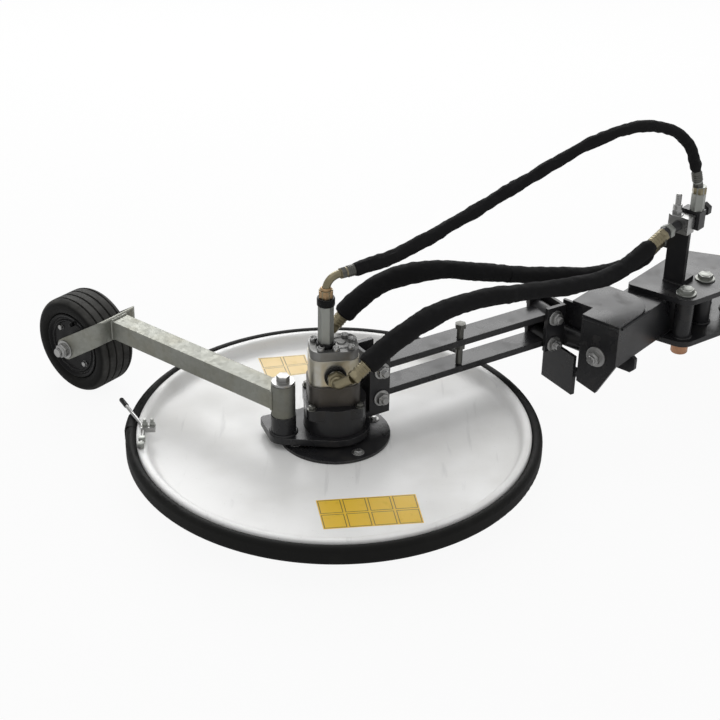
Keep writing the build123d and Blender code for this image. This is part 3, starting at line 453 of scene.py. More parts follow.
class MOWER_OT_finishes(bpy.types.Operator):
    """Makes the finishes and gives them to the frame's nodes"""

    bl_idname = "mower.finishes"
    bl_label = "Finishes"

    def execute(self, context):
        c = context.scene.mower_colours
        cover_paint(c.cover_white)
        frame_paint("frame_paint", c.frame_black)
        frame_paint("rim_paint", tint(c.frame_black, 0.3), (0.014, 0.013, 0.012), 0.14)
        rubber("bumper_rubber", c.rubber_black, 0.45)
        tyre_rubber("tyre_rubber", c.rubber_black, c.tread_dust)
        casting("casting", c.casting)
        bare_metal("motor_alloy", c.motor_alloy, (0.42, 0.36, 0.22), 0.30, 0.6)
        bare_metal("cover_alloy", c.cover_alloy, (0.17, 0.165, 0.155), 0.40)
        galvanised("galvanised", c.zinc)
        # Same galvanised finish, darker: painted shade on the arm's sleeve
        galvanised("zinc_in_painted_shade", c.zinc_in_painted_shade)
        bare_metal("bright_zinc", c.bright_zinc, (0.27, 0.265, 0.25), 0.26)
        bare_metal("adapter_grey", c.adapter_grey, (0.27, 0.27, 0.25), 0.34)
        bare_metal("olive_zinc", c.olive_zinc, (0.18, 0.165, 0.12), 0.30)
        bare_metal("brass", c.brass, (0.26, 0.17, 0.09), 0.32)
        bare_metal("copper", c.copper, (0.20, 0.10, 0.06), 0.40)
        bare_metal("blade_steel", c.blade_steel, (0.16, 0.11, 0.07), 0.42, 0.6)
        woven_sleeve("sleeve", c.sleeve_black)
        label_film("front_label", c.label_yellow)
        label_film("rear_label", c.label_pale)
        bare_metal("dark_steel", c.dark_steel, (0.09, 0.085, 0.075), 0.36)
        for finish, nodes in NODE_FINISHES.items():
            for node in nodes:
                data = frame["nodes"][node].data
                data.materials.clear()
                data.materials.append(FINISHES[finish])
        return {"FINISHED"}


def add_piece(bm, name, finish, body=None, smooth_angle=35.0):
    """Turns a bmesh into a piece that rides on a body."""
    bmesh.ops.remove_doubles(bm, verts=bm.verts, dist=1e-6)
    bmesh.ops.recalc_face_normals(bm, faces=bm.faces)
    mesh = bpy.data.meshes.new(name)
    bm.to_mesh(mesh)
    bm.free()
    for polygon in mesh.polygons:
        polygon.use_smooth = True
    mesh.set_sharp_from_angle(angle=math.radians(smooth_angle))
    mesh.materials.append(FINISHES[finish])
    piece = bpy.data.objects.new(name, mesh)
    bpy.context.scene.collection.objects.link(piece)
    if body:
        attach(piece, body)
    return piece


def spline_line(route):
    """Points along the smooth line that a route's points control."""
    curve = bpy.data.curves.new("route", "CURVE")
    curve.dimensions = "3D"
    curve.resolution_u = 16
    spline = curve.splines.new("NURBS")
    spline.points.add(len(route) - 1)
    for point, stop in zip(spline.points, route):
        point.co = (*place(*stop), 1.0)
    spline.order_u = 3
    spline.use_endpoint_u = True
    holder = bpy.data.objects.new("route", curve)
    bpy.context.scene.collection.objects.link(holder)
    line = bpy.data.meshes.new_from_object(holder)
    points = [vertex.co.copy() for vertex in line.vertices]
    bpy.data.objects.remove(holder)
    bpy.data.curves.remove(curve)
    bpy.data.meshes.remove(line)
    return points


def rings_along(points):
    """For each point its frame, turned as little as possible, and its distance along the line."""
    frames = []
    travelled = 0.0
    side = None
    for i, point in enumerate(points):
        ahead = points[min(i + 1, len(points) - 1)]
        behind = points[max(i - 1, 0)]
        tangent = (ahead - behind).normalized()
        if side is None:
            side = tangent.orthogonal().normalized()
        side = (side - tangent * side.dot(tangent)).normalized()
        up = tangent.cross(side)
        if i:
            travelled += (point - points[i - 1]).length
        turn = Matrix((side, up, tangent)).transposed().to_4x4()
        frames.append((Matrix.Translation(point) @ turn, travelled))
    return frames


def bridge_rings(bm, rings):
    """Faces from each ring to the next."""
    for pair in zip(rings, rings[1:]):
        edges = {e for ring in pair for v in ring for e in v.link_edges if e.other_vert(v) in ring}
        bmesh.ops.bridge_loops(bm, edges=list(edges))


def close_ends(bm):
    """Fills every open loop."""
    bmesh.ops.holes_fill(bm, edges=[e for e in bm.edges if e.is_boundary], sides=0)


def soften(shape, geom, offset, segments, affect="EDGES"):
    """Rounds edges or corners."""
    bmesh.ops.bevel(
        shape, geom=geom, offset=offset, offset_type="OFFSET",
        affect=affect, segments=segments, profile=0.5, material=-1,
    )


def hose_section(name, points, offset, total, radius, sizes):
    """A wrinkled sleeve along part of a line, with a map in metres along and round."""
    bm = bmesh.new()
    loops = []
    rows = []
    sides = sizes.hose_sides
    for matrix, travelled in rings_along(points):
        along = offset + travelled
        made = bmesh.ops.create_circle(bm, segments=sides, radius=radius, matrix=matrix)["verts"]
        centre = matrix.translation
        drawn_in = min(1.0, 0.86 + along / 0.03, 0.74 + (total - along) / 0.045)
        for i, vertex in enumerate(made):
            lump = noise.noise((along * 24.0, i * 0.10, radius * 900.0))
            crease = noise.noise((along * 95.0, i * 0.32, radius * 400.0))
            fold = lump + 0.75 * crease
            out = vertex.co - centre
            slack = 1.0 + sizes.slack * max(0.0, 1.0 - along / (0.55 * total))
            vertex.co = centre + out.normalized() * drawn_in * (radius * slack + sizes.wrinkle * fold)
        loops.append(made)
        rows.append(along)
    uv = bm.loops.layers.uv.new("sleeve")
    where = {}
    for row, made in zip(rows, loops):
        for i, vertex in enumerate(made):
            where[vertex] = (row, i)
    bridge_rings(bm, loops)
    step = 2 * math.pi * radius / sides
    for face in bm.faces:
        marks = [where[loop.vert][1] for loop in face.loops]
        wraps = max(marks) - min(marks) > sides / 2
        for loop in face.loops:
            row, i = where[loop.vert]
            loop[uv].uv = (row, (i + sides if wraps and i < sides / 2 else i) * step)
    close_ends(bm)
    return add_piece(bm, name, "sleeve", smooth_angle=60)


def line_length(points):
    """Length of a line through points."""
    return sum((b - a).length for a, b in zip(points, points[1:]))


class MOWER_OT_hoses(bpy.types.Operator):
    """Lays the three sleeved hoses from the motor to the boom"""

    bl_idname = "mower.hoses"
    bl_label = "Hoses"

    def execute(self, context):
        sizes = context.scene.mower_sizes
        for node, route, radius in (
            ("front_hose", FRONT_ROUTE, sizes.hose_radius),
            ("rear_hose", REAR_ROUTE, sizes.hose_radius),
            ("drain_hose", DRAIN_ROUTE, sizes.drain_radius),
        ):
            line = spline_line(route)
            middle = len(line) // 2
            total = line_length(line)
            near, far = line[: middle + 1], line[middle:]
            sections = ((near, "head", "lower_link"), (far, "lower_link", "boom"))
            done = 0.0
            for part, (points, body_a, body_b) in zip(("near", "far"), sections):
                piece = hose_section(f"{node}_{part}", points, done, total, radius, sizes)
                done += line_length(points)
                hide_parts(node)
                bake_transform(piece)
                line_length(points)
        return {"FINISHED"}


def on(base, x, y, z, toward=(0, 0, 1)):
    """A place in a frame with its own Z towards a direction, for shapes in millimetres."""
    turn = Vector(toward).to_track_quat("Z", "Y").to_matrix().to_4x4()
    return base @ Matrix.Translation(Vector((x, y, z)) * MM) @ turn @ Matrix.Scale(MM, 4)


def prism(sides, radius, low, high, edge=0.0):
    """An upright prism or cylinder with softened rims."""
    shape = bmesh.new()
    middle = Matrix.Translation((0, 0, (low + high) / 2))
    bmesh.ops.create_cone(
        shape, cap_ends=True, segments=sides,
        radius1=radius, radius2=radius, depth=high - low, matrix=middle,
    )
    if edge:
        rims = [e for e in shape.edges if abs(e.verts[0].co.z - e.verts[1].co.z) < 1e-6]
        soften(shape, rims, edge, 2)
    return shape


def lathe(points, steps=48):
    """A half section, as (radius, height) points, spun about Z."""
    shape = bmesh.new()
    line = [shape.verts.new((r, 0, z)) for r, z in points]
    edges = [shape.edges.new(pair) for pair in zip(line, line[1:])]
    bmesh.ops.spin(
        shape, geom=line + edges, cent=(0, 0, 0), axis=(0, 0, 1),
        angle=math.radians(360), steps=steps, use_merge=True,
    )
    bmesh.ops.remove_doubles(shape, verts=shape.verts, dist=1e-4)
    return shape


def join(bm, shape, matrix):
    """Adds a shape to a piece's mesh at a place."""
    bmesh.ops.transform(shape, matrix=matrix, verts=shape.verts)
    mesh = bpy.data.meshes.new("shape")
    shape.to_mesh(mesh)
    shape.free()
    bm.from_mesh(mesh)
    bpy.data.meshes.remove(mesh)


def polar(radius, degrees):
    """The two coordinates of a point at an angle."""
    turn = math.radians(degrees)
    return radius * math.cos(turn), radius * math.sin(turn)


def add_bolt(bm, matrix, radius, height, washer=0.0, thickness=1.5):
    """A hexagonal head on its washer."""
    low = 0.0
    if washer:
        join(bm, prism(32, washer, 0, thickness, 0.4), matrix)
        low = thickness
    join(bm, prism(6, radius, low, low + height, 0.7), matrix)
    crown = prism(24, radius * 0.72, low + height - 0.2, low + height + 0.5, 0.3)
    join(bm, crown, matrix)


def add_cap_screw(bm, matrix, radius, height):
    """A round head with a round socket."""
    shape = prism(28, radius, 0, height, 0.5)
    top = max(shape.faces, key=lambda face: face.calc_center_median().z)
    bmesh.ops.inset_region(shape, faces=[top], thickness=radius * 0.45)
    bmesh.ops.translate(shape, verts=top.verts, vec=(0, 0, -height * 0.5))
    join(bm, shape, matrix)


class MOWER_OT_cover(bpy.types.Operator):
    """Spins the cover's sheet with its rolled rim"""

    bl_idname = "mower.cover"
    bl_label = "Cover"

    def execute(self, context):
        flat = [(60, 59), (60, 62), (140, 62), (230, 62), (303, 62)]
        rise = [(307.5, 62.5), (310.5, 64), (312.6, 66.6), (314.4, 74), (315.8, 78.2), (318.2, 81.0)]
        bead = [(321.5, 82), (327, 82), (329.8, 81.2), (331, 79), (331, 55)]
        inside = [(328, 55), (328, 78), (326, 79), (321.5, 79), (318.6, 76.8), (317.2, 73.4)]
        under = [(315.4, 65.6), (312.6, 61.4), (308.6, 59.3), (303, 59), (60, 59)]
        bm = bmesh.new()
        join(bm, lathe(flat + rise + bead + inside + under, 160), on(WORLD, 0, 0, 0))
        piece = add_piece(bm, "cover_shell", "cover_paint", "cover", smooth_angle=40)
        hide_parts("cover_disc")
        return {"FINISHED"}


class MOWER_OT_fasteners(bpy.types.Operator):
    """Puts the bolts, screws and washers on the motor, the cover, the wheel, the boom and the knives"""

    bl_idname = "mower.fasteners"
    bl_label = "Fasteners"

    def execute(self, context):
        self.motor_screws()
        self.cover_bolts()
        self.rim_bolts()
        self.boom_washers()
        self.link_nuts()
        self.knife_bolts()
        return {"FINISHED"}

    def motor_screws(self):
        """Cap screws and a rib on the motor's cover, and the bolts of its flange."""
        bm = bmesh.new()
        for x, y in ((-23, -23), (26, -22), (2, -25), (-31, 12), (21, 18), (31, 4)):
            add_cap_screw(bm, on(MOTOR, x, y, MOTOR_TOP), radius=6.2, height=6.5)
        add_piece(bm, "motor_screws", "bright_zinc", "head")
        bm = bmesh.new()
        for x, y in ((-39.5, -40), (40, -39), (-40, 39), (39.5, 40)):
            add_bolt(bm, on(MOTOR, x, y, MOTOR_FLANGE_TOP), radius=6.2, height=5.0, washer=8.0)
        add_piece(bm, "flange_bolts", "dark_steel", "head")
        bm = bmesh.new()
        boss = on(MOTOR, 13, 2, MOTOR_TOP)
        join(bm, lathe([(15, -0.5), (16, 1.6), (21, 1.6), (22.5, -0.5)], 40), boss)
        join(bm, lathe([(0, 2.0), (7, 2.0), (8.5, -0.5)], 32), boss)
        add_piece(bm, "cover_rib", "cover_alloy", "head")

    def cover_bolts(self):
        """Bolts of the cover's flange."""
        bm = bmesh.new()
        for i in range(4):
            spot = on(WORLD, *polar(76, -58 + 90 * i), COVER_FLANGE_TOP)
            add_bolt(bm, spot, radius=7.5, height=3.4, washer=10.5, thickness=1.2)
        add_piece(bm, "cover_bolts", "bright_zinc", "cover")

    def rim_bolts(self):
        """Bolts through the two halves of the rim, with their nuts."""
        bm = bmesh.new()
        for i in range(4):
            x, z = polar(40, 45 + 90 * i)
            front, back = on(WHEEL, x, 30, z, (0, 1, 0)), on(WHEEL, x, 25, z, (0, -1, 0))
            add_bolt(bm, front, radius=5.2, height=4.0, washer=6.5, thickness=1.0)
            add_bolt(bm, back, radius=5.2, height=4.0)
        add_piece(bm, "rim_bolts", "bright_zinc", "wheel")

    def boom_washers(self):
        """Heads and washers on the pivot plates, the roll bolt's head and the bushing."""
        bm = bmesh.new()
        for x, y in PIVOT_BOLTS:
            top = on(BOOM, x, y, PIVOT_PLATE_TOP)
            join(bm, prism(40, 18.5, 0, 2.6, 0.5), top)
            join(bm, prism(24, 10.2, 9.5, 10.8, 0.5), top)
        under = on(BOOM, *PIVOT_BOLTS[1], PIVOT_PLATE_UNDER, (0, 0, -1))
        add_bolt(bm, under, radius=13.0, height=8.0, washer=18.5, thickness=2.0)
        # Darker grey on these washers and the bolt head: painted dark reflection
        add_piece(bm, "pivot_washers", "adapter_grey", "boom")
        bm = bmesh.new()
        washer = 3.4
        join(bm, prism(40, 19.0, -0.5, washer, 0.6), on(BOOM, 0, *ROLL_BOLT, (-1, 0, 0)))
        head = on(BOOM, -washer, *ROLL_BOLT, (-1, 0, 0))
        add_bolt(bm, head, radius=13.3, height=10.0)
        join(bm, lathe([(8.0, 10), (8.0, 15.5), (7.0, 17), (0, 17)], 28), head)
        add_piece(bm, "roll_bolt_head", "bright_zinc", "boom")
        bm = bmesh.new()
        bush = [(9, 103), (15.5, 103), (15.5, 80), (14.5, 78.5), (9.5, 78.5), (9, 80)]
        join(bm, lathe(bush, 40), on(BOOM, *PIVOT_BOLTS[0], 0))
        add_piece(bm, "bushing_end", "copper", "boom")

    def link_nuts(self):
        """Nuts with a thread's end on the pivots of the two links."""
        for name, x, body in (("near_link_nuts", NEAR_PIVOT, "head"), ("far_link_nuts", FAR_PIVOT, "boom")):
            bm = bmesh.new()
            for z in LINK_HEIGHTS:
                for side in (-1, 1):
                    spot = on(LINK, x, side * 30.5, z, (0, side, 0))
                    join(bm, prism(36, 14.5, 0, 2.7, 0.5), spot)
                    join(bm, prism(6, 11.2, 2.7, 10.4, 1.0), spot)
                    thread = [(0, 17), (5.4, 17), (6.4, 16)]
                    for i in range(4):
                        thread += [(5.7, 15.2 - 1.4 * i), (6.4, 14.5 - 1.4 * i)]
                    join(bm, lathe(thread + [(6.4, 9.5)], 24), spot)
            add_piece(bm, name, "bright_zinc", body)

    def knife_bolts(self):
        """Bolts that hold the knives in the rotor."""
        bm = bmesh.new()
        for i in range(4):
            for reach in (160, 195):
                x, y = polar(reach, 90 * i)
                add_bolt(bm, on(WORLD, x, y, 28.4, (0, 0, -1)), radius=9.0, height=5.5, washer=12.0)
                add_bolt(bm, on(WORLD, x, y, 38.5), radius=9.0, height=6.0, washer=12.0)
        add_piece(bm, "knife_bolts", "bright_zinc", "rotor")


def run_direction(route, end):
    """Unit vector of a route's first run, or of its last one with end."""
    a, b = (route[-2], route[-1]) if end else (route[0], route[1])
    return (Vector(b) - Vector(a)).normalized()


class MOWER_OT_fittings(bpy.types.Operator):
    """Dresses the hose ends, the motor's ports, the drain adapter and the pipes"""

    bl_idname = "mower.fittings"
    bl_label = "Fittings"

    def execute(self, context):
        self.crimps()
        self.ports()
        self.adapters()
        self.pipe_nuts()
        return {"FINISHED"}

    def crimps(self):
        """Rolled crimps on each ferrule, and its hexagon."""
        for name, route, end, reach, radius, body in (
            ("front_start_crimp", FRONT_ROUTE, False, 32, 10.5, "head"),
            ("rear_start_crimp", REAR_ROUTE, False, 32, 10.5, "head"),
            ("drain_start_crimp", DRAIN_ROUTE, False, 26, 8.5, "head"),
            ("front_end_crimp", FRONT_ROUTE, True, 34, 10.5, "boom"),
            ("rear_end_crimp", REAR_ROUTE, True, 34, 10.5, "boom"),
            ("drain_end_crimp", DRAIN_ROUTE, True, 30, 8.5, "boom"),
        ):
            finish = "dark_steel" if route is DRAIN_ROUTE else "olive_zinc"
            away = run_direction(route, end) * (1 if end else -1)
            tip = Vector(route[-1] if end else route[0])
            spot = on(WORLD, *tip, away)
            bm = bmesh.new()
            inner, foot, crest = radius - 0.5, radius + 0.3, radius + 1.2
            pitch = (reach - 12) / 4
            section = [(inner, -3)]
            for i in range(4):
                low = 1.0 + i * pitch
                high = low + pitch - 1.6
                section += [(foot, low), (crest, low + 0.8), (crest, high - 0.8), (foot, high)]
            section.append((inner, reach - 10))
            join(bm, lathe(section), spot)
            join(bm, prism(6, radius + 1.6, reach - 9, reach - 1, 0.8), spot)
            add_piece(bm, name, finish, body)

    def ports(self):
        """Rings and nuts of the motor's two ports."""
        rings, nuts = bmesh.new(), bmesh.new()
        for side in (-1, 1):
            toward = (0, side, 0)
            spot = on(MOTOR, 0, side * 33, PORT_Z, toward)
            ring = [(0, 0), (17.5, 0), (18.5, 1.5), (18.5, 5), (16.5, 6.5), (0, 6.5)]
            join(rings, lathe(ring), spot)
            join(nuts, prism(6, 15.5, 7, 17, 1.0), spot)
            join(nuts, lathe([(8, 16), (11, 17), (11, 21), (9, 23), (8, 23)]), spot)
        add_piece(rings, "port_rings", "rim_paint", "head")
        add_piece(nuts, "port_nuts", "olive_zinc", "head")

    def adapters(self):
        """Seals and nut of the drain line, and the nut on its stand."""
        base = on(WORLD, *DRAIN_PORT, 0)
        seals = bmesh.new()
        seal = [(12, 237), (15.5, 237), (16, 238), (16, 243), (15, 244.5), (12, 244.5)]
        join(seals, lathe(seal), base)
        collar = [(12.5, 311), (14.2, 311.5), (14.8, 313), (14.8, 323.5)]
        collar += [(14, ADAPTER_TOP), (11, ADAPTER_TOP)]
        join(seals, lathe(collar), base)
        add_piece(seals, "adapter_seals", "rim_paint", "head")
        nut = bmesh.new()
        join(nut, prism(6, 12.6, 325.2, 338, 0.9), base)
        join(nut, lathe([(7, 337), (9.5, 338), (9.5, 341), (7.5, 343), (6.6, 343)]), base)
        add_piece(nut, "drain_nut", "brass", "head")
        foot = Vector(DRAIN_ROUTE[-1])
        along = run_direction(DRAIN_ROUTE, True)
        foot = foot + along * ((foot.z - STAND_TOP) / -along.z)
        nut = bmesh.new()
        join(nut, prism(6, 13.2, STAND_TOP, STAND_TOP + 13, 0.9), on(WORLD, foot.x, foot.y, 0))
        add_piece(nut, "stand_nut", "olive_zinc", "boom")

    def pipe_nuts(self):
        """Nuts of the pipes, and the stud on the clamp block."""
        nuts = bmesh.new()
        for x, y, z in ((157, -21.4, 315.5), (203, 11.9, 273), (262, -21.4, 315.5), (262, 11.9, 273)):
            join(nuts, prism(6, 14.0, 0, 13, 1.0), on(BOOM, x, y, z, (1, 0, 0)))
        add_piece(nuts, "pipe_nuts", "adapter_grey", "boom")
        stud = bmesh.new()
        post = on(BOOM, *CLAMP_STUD, 0)
        section = [(0, CLAMP_TOP), (5.6, CLAMP_TOP)]
        for i in range(14):
            section += [(5.6, 332 + i * 2.8), (4.9, 333.4 + i * 2.8)]
        section += [(4.2, 372), (0, 372)]
        join(stud, lathe(section, 24), post)
        add_bolt(stud, on(BOOM, *CLAMP_STUD, CLAMP_TOP + 1), radius=9.6, height=9.0, washer=12.0)
        join(stud, lathe([(5.6, 342), (8.2, 342), (8.2, 351), (7.4, 352), (5.6, 352)], 28), post)
        add_piece(stud, "clamp_stud", "bright_zinc", "boom")


class MOWER_OT_wheel_trim(bpy.types.Operator):
    """Adds the pressed dish, the valve and the axle's nuts of the support wheel"""

    bl_idname = "mower.wheel_trim"
    bl_label = "Wheel trim"

    def execute(self, context):
        dish = bmesh.new()
        pressing = [(17.2, 30), (19, 31), (34, 31), (46, 31), (48, 33.5), (50, 33.5)]
        edge = [(52, 31.2), (54.5, 31.2), (56.5, 34), (58, 35.2), (60.5, 35.6), (62, 34.4), (62, 30)]
        join(dish, lathe(pressing + edge, 64), on(WHEEL, 0, 0, 0, (0, 1, 0)))
        add_piece(dish, "rim_dish", "rim_paint", "wheel")
        valve = bmesh.new()
        x, z = polar(48, 100)
        spot = on(WHEEL, x, 30, z, (0, 1, 0))
        join(valve, lathe([(0, 12), (2.4, 12), (2.6, 9), (3.4, 8), (3.4, 0), (0, 0)], 20), spot)
        add_piece(valve, "tyre_valve", "rim_paint", "wheel")
        nuts = bmesh.new()
        for side in (-1, 1):
            spot = on(WHEEL, 0, side * 49.5, 0, (0, side, 0))
            join(nuts, prism(40, 17.5, 0, 2.6, 0.5), spot)
            join(nuts, prism(6, 13.8, 2.6, 10.8, 1.0), spot)
            tip = [(11.5, 10), (11.5, 12.5), (9.6, 14.5), (8.6, 15), (8.6, 18), (7, 19.8), (0, 19.8)]
            join(nuts, lathe(tip, 32), spot)
        add_piece(nuts, "axle_nuts", "bright_zinc", "wheel_arm")
        return {"FINISHED"}


class MOWER_OT_bumper_trim(bpy.types.Operator):
    """Adds the bumper's joint sleeve, the wire clip's nuts and the sleeve on the wire's tail"""

    bl_idname = "mower.bumper_trim"
    bl_label = "Bumper trim"

    def execute(self, context):
        shape = bmesh.new()
        bmesh.ops.create_grid(shape, x_segments=1, y_segments=1, size=0.5)
        upright = Matrix.Translation((341.5, 0, 65)) @ Matrix.Rotation(math.radians(90), 4, "X")
        stretch = Matrix.Diagonal((21.0, 33.0, 1.0, 1.0))
        bmesh.ops.transform(shape, matrix=upright @ stretch, verts=shape.verts)
        soften(shape, shape.verts, 8.5, 5, "VERTICES")
        bmesh.ops.spin(
            shape, geom=shape.faces[:], cent=(0, 0, 0), axis=(0, 0, 1),
            angle=math.radians(7), steps=8, use_duplicate=False,
        )
        close_ends(shape)
        bm = bmesh.new()
        join(bm, shape, WORLD @ Matrix.Rotation(math.radians(176), 4, "Z") @ Matrix.Scale(MM, 4))
        add_piece(bm, "bumper_joint", "bumper_rubber", "cover")
        clip = turned_about(SPINDLE, CLIP_HEADING)
        nuts = bmesh.new()
        for x in (304, 316):
            add_bolt(nuts, on(clip, x, 0, CLIP_TOP), radius=5.0, height=4.5, washer=6.2, thickness=1.0)
            join(nuts, lathe([(0, 95), (2.8, 95), (2.8, 103), (2.2, 104), (0, 104)], 20), on(clip, x, 0, 0))
        end = WIRE_END.normalized()
        for step in (34, 52):
            spot = on(clip, WIRE_SEAT_X + end.x * step, end.y * step, WIRE_Z)
            join(nuts, prism(6, 6.5, -4, 5, 0.8), spot)
        add_piece(nuts, "clip_nuts", "adapter_grey", "cover")
        tail = WIRE_TAIL.normalized()
        tip = bmesh.new()
        reach = 23
        section = [(0, -2), (3.2, -2), (4.2, -1), (4.2, 21), (3.6, reach), (0, reach)]
        x, y = WIRE_SEAT_X + WIRE_TAIL.x - tail.x * reach, WIRE_TAIL.y - tail.y * reach
        join(tip, lathe(section, 24), on(clip, x, y, WIRE_Z, tail))
        add_piece(tip, "wire_tip", "rim_paint", "cover")
        return {"FINISHED"}


class MOWER_OT_painted_shade_plate(bpy.types.Operator):
    """Hangs a dark plate below the wing of the box's cap, as painted shade in the gap between the far
    clevis and the end plate
    """

    bl_idname = "mower.box_skirt"
    bl_label = "Painted shade plate"

    def execute(self, context):
        bm = bmesh.new()
        bmesh.ops.create_grid(bm, x_segments=1, y_segments=1, size=0.5)
        bmesh.ops.transform(bm, matrix=Matrix.Diagonal((64.0, 48.0, 1.0, 1.0)), verts=bm.verts)
        corner = min(bm.verts, key=lambda vertex: vertex.co.x + vertex.co.y)
        soften(bm, [corner], 14.0, 6, "VERTICES")
        bmesh.ops.solidify(bm, geom=bm.faces[:], thickness=6.0)
        bmesh.ops.transform(bm, matrix=on(BOOM, 36, 70, 163, (-1, 0, 0)), verts=bm.verts)
        # Dark plate that stands in for the shade in the gap between the far clevis and the end plate
        add_piece(bm, "painted_shade_plate", "frame_paint", "boom")
        return {"FINISHED"}


class MOWER_OT_labels(bpy.types.Operator):
    """Lays the two blank labels on the cover"""

    bl_idname = "mower.labels"
    bl_label = "Labels"

    def execute(self, context):
        for name, corners, panels in (
            ("front_label", ((-10.8, -272.8), (143.8, -251.6), (132.3, -174.6), (-25.3, -196.5)), 4),
            ("rear_label", ((-125.3, 179.1), (-45.5, 203.0), (-60.8, 269.3), (-146.4, 252.8)), 2),
        ):
            bm = bmesh.new()
            bmesh.ops.create_grid(bm, x_segments=panels * 2, y_segments=4, size=0.5)
            uv = bm.loops.layers.uv.new("panels")
            for face in bm.faces:
                for loop in face.loops:
                    loop[uv].uv = ((loop.vert.co.x + 0.5) * panels, (loop.vert.co.y + 0.5) * 2)
            near_left, near_right, far_right, far_left = (place(x, y, LABEL_Z) for x, y in corners)
            for vertex in bm.verts:
                u, v = vertex.co.x + 0.5, vertex.co.y + 0.5
                vertex.co = near_left.lerp(near_right, u).lerp(far_left.lerp(far_right, u), v)
            bmesh.ops.solidify(bm, geom=bm.faces[:], thickness=0.0002)
            add_piece(bm, name, name, "cover")
        return {"FINISHED"}


def add_bead(bm, points, radius):
    """A rippled weld bead along points."""
    rings = []
    for matrix, travelled in rings_along(points):
        swell = radius * (1.0 + 0.12 * math.sin(travelled * 2100.0))
        rings.append(bmesh.ops.create_circle(bm, segments=8, radius=swell, matrix=matrix)["verts"])
    bridge_rings(bm, rings)


def straight(base, start, end):
    """Points about 1.2 mm apart between two places in a frame."""
    a, b = base @ (Vector(start) * MM), base @ (Vector(end) * MM)
    count = max(4, int((b - a).length / 0.0012))
    return [a.lerp(b, i / count) for i in range(count + 1)]


def around(base, x, y, z, radius):
    """Points round a level circle in a frame."""
    count = max(24, int(2 * math.pi * radius / 1.2))
    ring = []
    for i in range(count + 1):
        dx, dy = polar(radius, 360 * i / count)
        ring.append(base @ (Vector((x + dx, y + dy, z)) * MM))
    return ring


class MOWER_OT_welds(bpy.types.Operator):
    """Runs the weld beads of the arm, the carrier and the boom"""

    bl_idname = "mower.welds"
    bl_label = "Welds"

    def execute(self, context):
        radius = context.scene.mower_sizes.weld_radius
        arm = []
        for x in (10.6, 386.4):
            arm += [straight(ARM, (x, y, 131), (x, y, 166)) for y in (-17.6, 17.6)]
        arm += [straight(ARM, (386.4, -17.5, z), (386.4, 17.5, z)) for z in (130.9, 166.1)]
        carrier = [around(WORLD, *ARM_PIN, 85.7, 21.4)]
        boom = [straight(BOOM, (-0.4, -37, 187.0), (-0.4, 37, 187.0))]
        boom += [straight(BOOM, (9, BOX_SIDE, BOX_HIGH), (100, BOX_SIDE, BOX_HIGH))]
        boom += [straight(BOOM, (151, BOX_SIDE, z), (340, BOX_SIDE, z)) for z in (186.2, 111.8)]
        for spot, outside in ((PIVOT_BOLTS[0], 17.3), (PIVOT_BOLTS[1], 17.3), (SWING_PIVOT, 26.3)):
            boom += [around(BOOM, *spot, z, outside) for z in (BOX_LOW, BOX_HIGH)]
        boom += [straight(BOOM, (206.6, -41, 197.4), (206.6, -2, 197.4))]
        boom += [straight(LINK, (466.2, -30, 104), (466.2, 14, 104))]
        for name, runs, finish, slot, body in (
            ("arm_welds", arm, "galvanised", "galvanised", "wheel_arm"),
            ("carrier_weld", carrier, "frame_paint", "dark_paint", "head"),
            ("boom_welds", boom, "frame_paint", "dark_paint", "boom"),
        ):
            bm = bmesh.new()
            for run in runs:
                add_bead(bm, run, radius)
            close_ends(bm)
            add_piece(bm, name, finish, body, smooth_angle=70)
        return {"FINISHED"}


# Name, place, target (both in millimetres), width, height (in metres) and power (in watts) of each lamp
LAMPS = (
    ("key", (-500, -300, 2600), (0, 0, 80), 2.6, 2.6, 9.0),
    ("back", (100, 2700, 1560), (100, 50, 100), 3.6, 1.2, 44.0),
    ("left", (-1000, 2500, 1750), (-150, 0, 60), 1.3, 1.1, 9.0),
)
SKY_LIGHT = 0.60
FLOOR_GLOW, FLOOR_MIRRORED = 0.93, 0.25
CAMERA_PLACE = (41, -2139, 1425)
CAMERA_PITCH, CAMERA_ROLL = 29.68, 0.9


